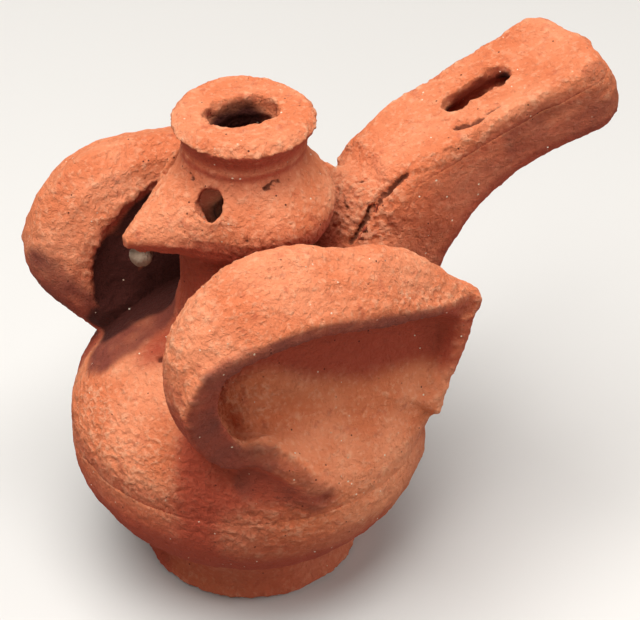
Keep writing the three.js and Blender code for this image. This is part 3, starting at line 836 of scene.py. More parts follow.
@dataclass
class Relief:
    """What hands, grit and fire did to the surface, and where light and shade are painted on it. Heights and
    widths are in mm.
    """

    marks: list[Mark]
    crawled: list[Region]
    sandy: list[Region]
    painted_lit: list[Region]
    smoked_and_shaded: list[Region]
    painted_shade: list[Region]
    lump_width: float = 17.0
    lump_height: float = 0.42
    skin_width: float = 2.4
    skin_height: float = 0.15
    grit_width: float = 1.1
    grit_height: float = 0.09
    edge_gain: float = 1.6
    crawl_width: float = 1.9
    crawl_height: float = 0.42
    crawl_level: float = 0.6
    crawl_stretch: Point = (0.75, 0.75, 1.6)
    crawl_bend: float = 0.7
    crawl_bend_width: float = 4.0
    sand_width: float = 1.0
    sand_height: float = 0.38
    sand_top: float = 0.35
    pit_spacing: float = 4.4
    pit_radius: float = 0.55
    pit_least_share: float = 0.5
    pit_depth: float = 0.35
    pitless_share: float = 0.35
    pit_shade: float = 0.1
    deepest_skin: float = 0.06
    crevice_shade_start: float = 0.55
    crevice_shade_most: float = 0.5
    smoke_shade_cloud: float = 9.0
    smoke_shade_contrast: float = 0.5

    def heights(self, points: np.ndarray, edge: np.ndarray) -> tuple[np.ndarray, np.ndarray]:
        """Height of the surface detail at each point.

        Args:
            points: N by 3 places in mm.
            edge: How convex the surface is, from -1 to 1.

        Returns:
            The whole height in mm, and its fine part with the painted shade of pits and cracks.
        """
        lumps = Noise.layered(points, self.lump_width, Seed.LUMPS, 2) * self.lump_height
        rough = 1 + self.edge_gain * np.clip(edge, 0, 1)
        fine = Noise.layered(points, self.skin_width, Seed.SKIN, 2) * self.skin_height * rough
        fine += Noise.smooth(points, self.grit_width, Seed.GRIT) * self.grit_height * rough
        bend = self.crawl_bend * Noise.shake(points, self.crawl_bend_width, Seed.CRAWL_BEND)
        bent = points * self.crawl_stretch + bend
        ridges = 1 - np.abs(Noise.layered(bent, self.crawl_width, Seed.CRAWL, 2)) * 2
        fine += self.weigh(self.crawled, points) * (ridges - self.crawl_level) * self.crawl_height
        sand = np.minimum(Noise.layered(points, self.sand_width, Seed.SAND, 2), self.sand_top)
        fine += self.weigh(self.sandy, points) * sand * self.sand_height
        away, own = Noise.nearest_seed(points, self.pit_spacing, Seed.PITS)
        size = self.pit_radius * (self.pit_least_share + own)
        holes = np.clip(1 - away / size, 0, 1) * (own > self.pitless_share)
        fine -= holes * self.pit_depth
        pressed, narrow = np.zeros(len(points)), np.zeros(len(points))
        for mark in self.marks:
            sunk = mark.press(points)
            pressed += sunk
            narrow += sunk * mark.crevice_shade
        # Painted shade in the pits and in narrow, deep cracks and dents.
        crevice_shade = holes * self.pit_shade + np.clip(narrow - self.crevice_shade_start, 0, self.crevice_shade_most)
        return lumps + fine - pressed, np.maximum(fine, -self.deepest_skin) - crevice_shade

    def weigh(self, regions: list[Region], points: np.ndarray) -> np.ndarray:
        """How strongly each point belongs to any of some regions.

        Args:
            regions: The regions.
            points: N by 3 places in mm.

        Returns:
            Numbers from zero up.
        """
        total = np.zeros(len(points))
        for region in regions:
            total = np.maximum(total, region.weigh(points))
        return total

    def smoke_and_shade_share(self, regions: list[Region], points: np.ndarray) -> np.ndarray:
        """How much each point is darkened, for smoke and for painted shade, from zero to one."""
        cloud = Noise.layered(points, self.smoke_shade_cloud, Seed.SMOKE)
        return np.clip(self.weigh(regions, points) * (1 + self.smoke_shade_contrast * cloud), 0, 1)


class SubAssembly:
    """A group of clay pieces that are shaped together."""

    EDGE_CURVE = 0.6

    def joins(self) -> list[Join]:
        """The group's pieces, in the order in which they are luted on."""
        raise NotImplementedError

    def marks(self) -> list[Mark]:
        """Dents, cracks and scratches on the group."""
        return []

    def crawled(self) -> list[Region]:
        """Where the slip crawled as it dried."""
        return []

    def sandy(self) -> list[Region]:
        """Where the surface is rough with sand."""
        return []

    def painted_lit(self) -> list[Region]:
        """Where painted light makes the clay brighter than elsewhere."""
        return []

    def smoked_and_shaded(self) -> list[Region]:
        """Where the clay is painted plum-brown, for smoke and for shade."""
        return []

    def painted_shade(self) -> list[Region]:
        """Where painted shade darkens hollows, clefts and the shadows beside them."""
        return []

    def build(
        self, clay: ClayVolume, relief: Relief, finishes: dict[Slot, "Earthenware"]
    ) -> list[bpy.types.Object]:
        """Make the finished pieces of the group.

        Args:
            clay: The luted clay.
            relief: The surface detail.
            finishes: The fired clay's material for each slot.

        Returns:
            The finished objects.
        """
        made = []
        for join in self.joins():
            points, quads = clay.surface(join.node)
            normals = vertex_normals(points, quads)
            edge = np.clip(clay.read(clay.edge, points) / self.EDGE_CURVE, -1, 1)
            height, fine = relief.heights(points, edge)
            shifted = np.clip(points + normals * height[:, None], BOX_LOW, BOX_HIGH)
            piece = mesh_object(join.node.replace("_", "-") + "-clay", shifted, quads)
            masks = {
                "fine": fine,
                # Plum for smoke on the rims and the tail's corner, and painted shade on faces turned from the
                # lamps and under overhangs.
                "smoke_and_shade": relief.smoke_and_shade_share(relief.smoked_and_shaded, points),
                # Painted shade in hollows and clefts, and the painted shadow beside the far wing.
                "dark_shade": relief.smoke_and_shade_share(relief.painted_shade, points),
                # Painted light and shade: light on open upward faces and where listed, shade under roofs and
                # on downward faces.
                "painted_light": np.clip(clay.painted_light_share(points, normals) + relief.weigh(relief.painted_lit, points), 0, 1),
                "bare": clay.bare(points, shifted),
            }
            finishes[join.slot].paint(piece, masks)
            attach(piece, BODY)
            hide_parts(join.node)
            LOG.info("%s: %d points, %d quads", join.node, len(points), len(quads))
            made.append(piece)
        return made


@dataclass
class Body(SubAssembly):
    """The hollow body on its foot. Sizes are in mm."""

    seam_fillet: float = 0.6
    seam_melt: float = 7.0
    foot_fillet: float = 3.0

    def joins(self) -> list[Join]:
        """The bowl, the dome over it and the foot under it."""
        return [
            Join("lower_bowl", 0.0),
            Join("upper_dome", self.seam_fillet, melted=self.seam_melt),
            Join("foot_disc", self.foot_fillet, Slot.DEEP),
        ]

    def marks(self) -> list[Mark]:
        """Drying cracks by the near wing, a nick in the seam, the belly's flaws, the breast's pinhole."""
        return [
            Groove(((27.7, -25.6, 46.4), (26.2, -27.4, 46.0), (25.2, -28.8, 45.5)), 0.6, 0.7),
            Groove(((21.4, -31.9, 44.9), (20.6, -33.0, 43.8), (20.2, -33.8, 42.6)), 0.6, 0.7),
            Groove(((-34.8, 17.2, 43.9), (-36.7, 13.6, 43.4), (-37.4, 10.3, 44.1)), 1.0, 0.8),
            Dent((33.0, -15.0, 36.0), 12.0, 1.2),
            Dent((9.9, -39.0, 36.5), 2.4, 0.5),
            Dent((11.5, -39.0, 34.0), 1.8, -0.4),
            *pits((-7.7, -39.0, 41.2), (-3.5, -40.2, 35.8), radius=1.0, depth=0.8),
            Dent((-22.4, -2.9, 60.8), 1.25, 2.6),
        ]

    def crawled(self) -> list[Region]:
        """The breast and the front of the belly."""
        return [
            Trail(
                ((-37.0, 3.0, 45.0), (-33.0, -18.0, 45.0), (-25.0, -30.0, 41.0), (-14.0, -37.0, 37.0)), 13.0
            ),
            Trail(((-14.0, -37.0, 33.0), (0.0, -40.0, 33.0), (11.0, -38.0, 34.0)), 10.0, 0.5),
            Trail(((-30.0, -5.0, 56.0), (-28.0, -20.0, 52.0)), 7.0, 0.35),
        ]

    def painted_lit(self) -> list[Region]:
        """Painted light on the floor of the near wing's scoop, the belly behind and below it, and the front
        of the foot.
        """
        return [
            Trail(
                ((-11.0, -29.0, 60.0), (-3.0, -32.0, 56.0), (12.0, -33.0, 51.0), (25.0, -28.0, 49.0)),
                13.0,
                0.85,
            ),
            Trail(((12.0, -37.0, 38.0), (28.0, -27.0, 36.0), (26.0, -28.0, 24.0)), 17.0, 0.5),
            Trail(((-22.0, -14.0, 4.0), (0.0, -26.0, 4.0), (20.0, -16.0, 4.0)), 12.0, 0.3),
            Trail(((-16.0, -34.0, 33.0), (0.0, -40.0, 32.0), (10.0, -39.0, 30.0)), 12.0, 0.35),
        ]

    def smoked_and_shaded(self) -> list[Region]:
        """A plum darkening over the foot, and painted shade under the end of the near wing's rim, on the
        lower belly and on the breast by the far wing.
        """
        return [
            Patch((-10.0, -10.0, 0.0), (44.0, 44.0, 24.0), 0.12),
            # Painted shade on the belly under the hook at the end of the near wing's rim.
            Trail(((-16.0, -33.5, 46.5), (-9.0, -37.0, 44.5), (-4.0, -39.3, 42.0)), 6.0, 0.5),
            # Painted shade on the lower belly.
            Patch((-8.0, -36.0, 26.0), (34.0, 20.0, 20.0), 0.18),
            # Painted shadow of the far wing and beak on the breast.
            Trail(((-15.0, 10.0, 63.0), (-24.0, 9.6, 59.0), (-29.0, 12.4, 55.0)), 9.0, 0.8),
        ]


@dataclass
class Head(SubAssembly):
    """Neck, head, beak and spout. Sizes are in mm."""

    neck_fillet: float = 3.0
    beak_fillet: float = 1.6
    spout_fillet: float = 2.0
    eye_radius: float = 3.1
    burr_radius: float = 0.6
    burr_end: float = 0.2
    pellet_fillet: float = 1.0

    SPOUT_HOLE = (
        (-2.6, 0.4, 107.0),
        (2.6, -0.4, 107.0),
        (2.8, -0.6, 117.0),
        (-2.8, 0.4, 117.0),
        (-2.6, 0.4, 107.0),
    )
    SPOUT_RADII = (4.6, 4.6, 5.4, 5.4, 4.6)

    def eye(self, side: int) -> tuple[Bead, Bead]:
        """One eye, rounded with the stick that pierced it, and the burr that the stick pushed up.

        Args:
            side: -1 for the left eye and 1 for the right.

        Returns:
            The hole and the burr.
        """
        hole = ((-16.5, 12.0 * side, 101.9), (-6.0, 4.4 * side, 100.2))
        burr = (
            (-15.3, 7.8 * side, 99.9),
            (-14.5, 9.6 * side, 98.3),
            (-13.5, 11.6 * side, 97.9),
            (-11.6, 12.9 * side, 99.0),
            (-10.2, 13.1 * side, 100.6),
        )
        radius, end = self.burr_radius, self.burr_end
        return (
            Bead(hole, (self.eye_radius,) * 2, softness=0.5, ragged=0.3, ragged_width=2.4, cut_away=True),
            Bead(burr, (end, radius, radius, radius, end), softness=0.6, ragged=0.35, ragged_width=1.6),
        )

    def joins(self) -> list[Join]:
        """From the neck up to the lip of the spout."""
        spout = Bead(self.SPOUT_HOLE, self.SPOUT_RADII, softness=0.5, ragged=0.8, cut_away=True)
        return [
            Join("neck_tube", self.neck_fillet, Slot.DEEP),
            Join("head_shell", self.neck_fillet, shapings=(*self.eye(-1), *self.eye(1))),
            Join("beak", self.beak_fillet),
            Join("throat_pellet", self.pellet_fillet, Slot.PALE),
            Join("spout_collar", self.spout_fillet),
            Join("spout_lip", self.spout_fillet, shapings=(spout,)),
        ]

    def marks(self) -> list[Mark]:
        """The neck's crack, scratches and pits under the spout, and the thumb's hollows in the cheeks."""
        return [
            Groove(
                ((-13.4, 3.0, 77.5), (-13.8, 2.3, 74.5), (-14.1, 2.5, 71.5), (-15.4, 1.6, 67.0)), 0.7, 0.8
            ),
            Groove(((-1.9, -13.5, 104.2), (0.2, -13.1, 105.3), (1.8, -13.0, 105.2)), 0.9, 1.4, 0.8),
            Groove(((-1.3, -13.6, 104.1), (1.0, -13.7, 103.9), (4.1, -13.1, 104.0)), 0.8, 1.1, 0.8),
            Dent((-13.0, -14.0, 94.0), 8.0, 1.2),
            Dent((-13.0, 14.0, 94.0), 8.0, 1.2),
            *pits((-13.2, -2.7, 104.3), (-12.9, -1.4, 104.6), (-8.0, -17.0, 95.5), depth=1.5),
            *pits((4.4, -14.7, 101.7), (7.0, -13.5, 101.0), radius=0.7, depth=0.5),
        ]

    def sandy(self) -> list[Region]:
        """The front of the lip, the lower edge of the head and the beak's ridge."""
        return [
            Trail(
                ((-14.0, -8.0, 113.0), (-6.0, -14.0, 112.0), (3.0, -16.0, 112.0), (12.0, -11.0, 113.0)), 5.0
            ),
            Trail(((-17.0, -9.7, 94.0), (-8.0, -17.5, 94.0), (2.0, -19.5, 94.0), (12.0, -15.0, 94.0)), 5.0),
            Patch((0.0, 0.0, 116.0), (17.0, 17.0, 4.0), 0.5),
        ]

    def smoked_and_shaded(self) -> list[Region]:
        """Painted shade on the neck under the head, and in the hollow under the lip."""
        return [
            Trail(((0.0, 0.0, 66.0), (0.0, 0.0, 78.0)), 12.0, 0.5),
            Trail(((0.0, 0.0, 106.5), (0.0, 0.0, 108.0)), 12.5, 0.3),
        ]

    def painted_shade(self) -> list[Region]:
        """Painted shade inside the neck, head and spout."""
        return [Trail(((0.0, 0.0, 50.0), (0.0, 0.0, 96.0), (0.0, 0.0, 109.0)), 10.0)]


@dataclass
class Tail(SubAssembly):
    """The slab-built tail with its windway. Sizes are in mm."""

    slab_fillet: float = 0.6
    slab_melt: float = 5.5
    block_fillet: float = 0.8
    root_fillet: float = 3.0
    seam_radius: float = 1.3
    seam_softness: float = 3.0

    WINDOW = (
        (50.3, -0.4, 103.6),
        (60.5, -0.4, 107.3),
        (61.5, -0.4, 102.9),
        (52.0, -0.4, 99.4),
        (50.3, -0.4, 103.6),
    )
    WINDOW_RADII = (3.1, 3.2, 2.9, 2.5, 3.1)
    SEAM = (
        (36.3, -10.4, 93.9),
        (41.9, -10.6, 96.2),
        (53.7, -11.3, 100.9),
        (64.0, -12.4, 105.0),
        (73.7, -13.4, 108.0),
        (79.2, -13.4, 108.3),
    )

    def joins(self) -> list[Join]:
        """The trough, the slab on it, the block in it and the patch at its root."""
        window = Bead(self.WINDOW, self.WINDOW_RADII, softness=0.4, ragged=0.7, cut_away=True)
        seam = Bead(self.SEAM, (self.seam_radius,) * len(self.SEAM), self.seam_softness)
        return [
            Join("tail_trough", self.root_fillet, Slot.DEEP),
            Join("tail_top_slab", self.slab_fillet, melted=self.slab_melt, shapings=(window, seam)),
            Join("windway_block", self.block_fillet, Slot.DEEP),
            Join("tail_root_lute", self.root_fillet, melted=self.slab_melt),
        ]

    def marks(self) -> list[Mark]:
        """The crack at the root, the slab's torn lower edge, and scratches and a gouge on top."""
        return [
            Groove(
                ((33.2, -10.2, 94.8), (30.2, -8.8, 91.9), (28.9, -7.6, 88.9), (26.4, -8.2, 87.0)),
                1.3,
                2.8,
                0.3,
            ),
            Groove(
                ((26.4, -8.2, 87.0), (24.6, -9.0, 85.3), (21.9, -9.9, 83.3), (19.9, -10.1, 81.5)),
                1.2,
                2.4,
                0.3,
            ),
            Groove(((24.4, 1.5, 91.0), (25.4, -1.0, 91.0), (27.4, -1.5, 90.0)), 1.2, 1.3, 0.3),
            Groove(((27.4, -1.5, 90.0), (29.5, -3.5, 90.5), (30.5, -7.6, 92.4)), 0.8, 0.7, 0.4),
            Groove(((34.0, -10.6, 94.6), (38.0, -11.6, 95.4), (42.0, -12.0, 96.0)), 0.7, 0.4, 0.6),
            Groove(((22.4, -1.3, 87.9), (21.8, -4.3, 86.5)), 0.8, 1.3, 0.4),
            Groove(((26.0, -8.0, 87.0), (24.0, -5.5, 86.5), (22.0, -4.0, 85.0)), 0.6, 0.7, 0.6),
            Groove(((25.0, -9.2, 85.0), (28.5, -9.6, 86.0)), 0.6, 0.7, 0.6),
            Groove(
                ((40.3, 2.4, 99.2), (42.0, 1.4, 99.8), (43.8, -2.0, 100.4), (47.2, -4.6, 101.6)),
                0.8,
                0.9,
                0.5,
            ),
            Groove(((46.7, -7.6, 101.4), (49.0, -9.0, 102.3), (51.1, -9.6, 103.0)), 1.3, 1.7, 0.6),
            Groove(((51.1, -9.6, 103.0), (54.4, -9.0, 104.2), (56.6, -9.1, 105.0)), 0.9, 1.1, 0.4),
            Groove(((42.5, -6.0, 99.8), (47.5, -7.4, 101.7)), 0.4, 0.25, 0.4),
            Groove(((40.5, -5.5, 99.2), (45.0, -7.8, 100.8)), 0.4, 0.2, 0.4),
            Dent((48.5, -6.6, 102.2), 3.0, -0.5),
            Dent((75.0, 9.0, 112.0), 9.0, -1.4),
            Dent((66.0, -1.0, 109.0), 9.0, 0.7),
            Dent((66.0, -14.0, 101.0), 5.0, 0.8),
        ]

    def sandy(self) -> list[Region]:
        """The patch at the root and the edge between the top and the near side."""
        return [
            Patch((25.0, -6.0, 86.0), (10.0, 12.0, 9.0), 2.4),
            Trail(((33.0, -10.5, 95.0), (48.0, -12.2, 99.5), (64.0, -13.4, 107.0)), 3.0),
        ]

    def smoked_and_shaded(self) -> list[Region]:
        """Painted shade on the tail's near side, darkest at the mouth end, and a flame's touch at its corner.
        """
        return [
            Trail(((60.0, -15.5, 96.5), (82.0, -15.0, 102.0)), 8.5, 0.45),
            Trail(((28.0, -13.0, 75.0), (44.0, -13.5, 87.0), (60.0, -14.5, 94.0)), 9.0, 0.3),
            Patch((78.0, -14.0, 109.6), (5.5, 3.5, 3.0), 0.45),
        ]

    def painted_shade(self) -> list[Region]:
        """Painted shade in the windway and the channel under the window."""
        channel = ((44.0, -0.4, 92.0), (53.0, -0.4, 99.0), (62.0, -0.4, 102.5), (84.0, -2.0, 107.0))
        return [Trail(channel, 4.2)]


@dataclass
class Wings(SubAssembly):
    """The two pinched wings. Sizes are in mm."""

    root_fillet: float = 1.4
    side_fillet: float = 9.0
    flank_radius: float = 8.0

    LEFT_RIM = (
        (37.8, -30.0, 73.6),
        (29.0, -33.8, 76.1),
        (17.4, -36.4, 79.4),
        (6.6, -38.8, 83.3),
        (-3.4, -40.3, 86.4),
        (-12.8, -40.9, 86.6),
        (-20.5, -40.7, 85.5),
        (-26.4, -40.0, 82.7),
        (-28.6, -38.8, 77.3),
        (-28.9, -37.6, 71.9),
        (-27.0, -36.1, 65.1),
        (-23.4, -34.9, 58.5),
        (-19.2, -34.6, 54.7),
        (-14.4, -36.2, 55.1),
        (-11.1, -37.4, 53.3),
        (-7.7, -38.6, 49.3),
        (-4.0, -39.6, 44.9),
    )
    LEFT_WIDTHS = (3.0, 2.8, 2.8, 3.0, 3.4, 3.4, 3.8, 4.6, 6.2, 7.2, 7.2, 6.6, 5.6, 5.4, 5.4, 4.0, 1.6)
    RIGHT_RIM = (
        (45.3, 30.2, 62.0),
        (28.8, 34.6, 71.5),
        (11.0, 39.2, 79.5),
        (-5.5, 41.2, 84.1),
        (-18.3, 41.2, 83.7),
        (-28.0, 40.2, 79.6),
        (-33.1, 38.7, 71.5),
        (-32.1, 36.2, 65.1),
    )
    RIGHT_WIDTHS = (3.0, 2.8, 3.0, 3.4, 3.8, 5.0, 6.4, 6.4)
    LEFT_BACK = (
        (37.8, -28.3, 70.5),
        (37.6, -28.3, 67.0),
        (36.9, -28.2, 62.5),
        (35.6, -28.4, 58.6),
        (34.0, -28.6, 55.2),
        (32.6, -29.0, 51.8),
        (30.6, -29.3, 48.6),
    )
    BACK_RADII = (2.3, 2.2, 2.0, 2.0, 1.9, 1.8, 1.2)
    LEFT_CREST = (
        (-15.5, -26.6, 94.0),
        (-9.3, -26.6, 94.5),
        (-5.3, -26.6, 93.8),
        (-0.8, -26.6, 92.8),
        (3.5, -26.6, 90.6),
        (9.7, -26.6, 88.7),
        (15.6, -26.6, 88.2),
        (22.8, -26.6, 85.0),
        (27.0, -26.8, 81.8),
        (33.0, -27.2, 75.6),
        (37.4, -27.6, 71.6),
    )
    CREST_RADII = (3.2, 4.0, 4.0, 4.0, 3.8, 3.6, 4.0, 4.0, 3.8, 3.2, 3.2)
    RIGHT_FLANK = (
        (-4.0, 15.2, 86.0),
        (-10.5, 14.8, 83.0),
        (-16.5, 14.2, 80.2),
        (-21.0, 13.6, 76.5),
        (-23.6, 13.2, 71.5),
        (-23.0, 13.0, 66.0),
    )

    def joins(self) -> list[Join]:
        """The near wing and the far wing."""
        left = (
            Bead(self.LEFT_CREST, self.CREST_RADII, softness=4.0, ragged=0.25, ragged_width=4.0),
            Bead(self.LEFT_BACK, self.BACK_RADII, softness=1.4, ragged=0.3),
            Band(self.LEFT_RIM, self.LEFT_WIDTHS, -1),
        )
        right = (
            Bead(
                self.RIGHT_FLANK,
                (self.flank_radius,) * len(self.RIGHT_FLANK),
                softness=0.5,
                ragged=0.5,
                ragged_width=3.4,
                cut_away=True,
            ),
            Band(self.RIGHT_RIM, self.RIGHT_WIDTHS, 1),
        )
        return [
            Join("left_wing", self.root_fillet, side_fillet=self.side_fillet, shapings=left),
            Join("right_wing", self.root_fillet, side_fillet=self.side_fillet, shapings=right),
        ]

    def marks(self) -> list[Mark]:
        """Scratches on the near wing's crest, and the crease and the lip under its hook."""
        return [
            Groove(((-5.0, -27.0, 96.0), (-2.4, -29.0, 96.0), (0.5, -31.5, 95.0)), 0.5, 0.35, 0.5),
            Groove(((4.0, -29.0, 95.0), (9.0, -28.5, 93.5)), 0.45, 0.3, 0.5),
            Groove(
                ((-13.5, -34.6, 48.0), (-9.4, -36.6, 47.0), (-5.6, -38.6, 45.0), (-2.0, -40.2, 41.6)),
                2.6,
                2.0,
                0.1,
            ),
            Groove(((-12.0, -37.8, 52.6), (-7.6, -38.9, 49.8), (-4.0, -39.8, 46.4)), 3.0, -1.3, 0.1),
        ]

    def sandy(self) -> list[Region]:
        """The near wing's front, scoop, hook and tip, and the far wing's inner edge."""
        return [
            Trail(
                ((-18.0, -24.0, 95.0), (-27.0, -27.0, 88.0), (-31.0, -31.0, 79.0), (-31.0, -33.0, 70.0)), 8.0
            ),
            Patch((-14.0, -28.0, 66.0), (9.0, 7.0, 11.0), 1.0),
            Trail(((-20.0, -34.0, 57.0), (-13.0, -36.0, 57.0)), 4.0, 1.2),
            Trail(((17.0, -35.0, 82.0), (38.0, -29.0, 76.0), (38.0, -28.5, 66.0)), 4.0, 1.2),
            Trail(
                ((-12.0, 21.0, 88.0), (-22.0, 20.0, 85.0), (-27.0, 20.0, 77.0), (-29.0, 19.5, 70.0)), 4.0, 1.2
            ),
        ]

    def smoked_and_shaded(self) -> list[Region]:
        """Smoke and painted shade on the cut faces of the rims, and painted shade on the far wing's low front
        and inside the near wing's back.
        """
        return [
            Trail(tuple((x, y - 1.5, z) for x, y, z in self.LEFT_RIM[6:14]), 5.4, 0.62),
            Trail(tuple((x, y - 1.2, z - 0.4) for x, y, z in self.LEFT_RIM[1:7]), 3.4, 0.6),
            Trail(self.LEFT_RIM[13:17], 3.4, 0.5),
            Trail(self.RIGHT_RIM, 5.0, 0.6),
            # Painted shade on the far wing's low front.
            Trail(((-35.5, 27.0, 70.0), (-34.0, 22.6, 65.0), (-29.0, 20.0, 61.0)), 8.0, 0.7),
            # Painted shade inside the near wing's back.
            Patch((34.0, -27.0, 66.0), (9.0, 6.0, 12.0), 0.25),
        ]

    def painted_shade(self) -> list[Region]:
        """Painted shade in the cleft between the neck and the far wing, and painted shadow on the breast
        below it.
        """
        return [
            Trail(
                ((-6.0, 20.0, 83.0), (-15.0, 20.0, 79.0), (-22.0, 19.5, 73.0), (-22.5, 19.0, 64.0)), 6.6, 1.4
            ),
            Trail(((-5.0, 19.5, 76.0), (-10.0, 19.8, 66.0), (-16.0, 18.5, 62.0)), 8.0, 1.4),
            Trail(((-13.0, 13.0, 64.0), (-20.0, 16.0, 61.0), (-26.0, 18.5, 57.5)), 6.0, 0.9),
        ]


def add_node(
    tree: bpy.types.NodeTree,
    kind: str,
    settings: dict | None = None,
    links: dict | None = None,
) -> bpy.types.Node:
    """Add a node with its settings and links.

    Args:
        tree: The node tree.
        kind: The node's type name.
        settings: Attributes of the node, or values of its inputs where the name is an input's.
        links: Output sockets, by the name or number of the input that each goes into.

    Returns:
        The node.
    """
    node = tree.nodes.new(kind)
    for name, value in (settings or {}).items():
        if isinstance(name, str) and hasattr(node, name):
            setattr(node, name, value)
        else:
            node.inputs[name].default_value = value
    for name, socket in (links or {}).items():
        tree.links.new(socket, node.inputs[name])
    return node


def blank_material(name: str) -> tuple[bpy.types.Material, bpy.types.NodeTree]:
    """Make a material with no node in it.

    Args:
        name: Name of the material.

    Returns:
        The material and its empty node tree.
    """
    made = bpy.data.materials.new(name)
    made.use_nodes = True
    made.node_tree.nodes.clear()
    return made, made.node_tree


@dataclass(frozen=True)
class Tint:
    """A colour laid over those before it where a mask goes from low to high, and within a second mask."""

    mask: str
    low: float
    high: float
    colour: str
    least: float = 0.0
    most: float = 1.0
    within: str = ""


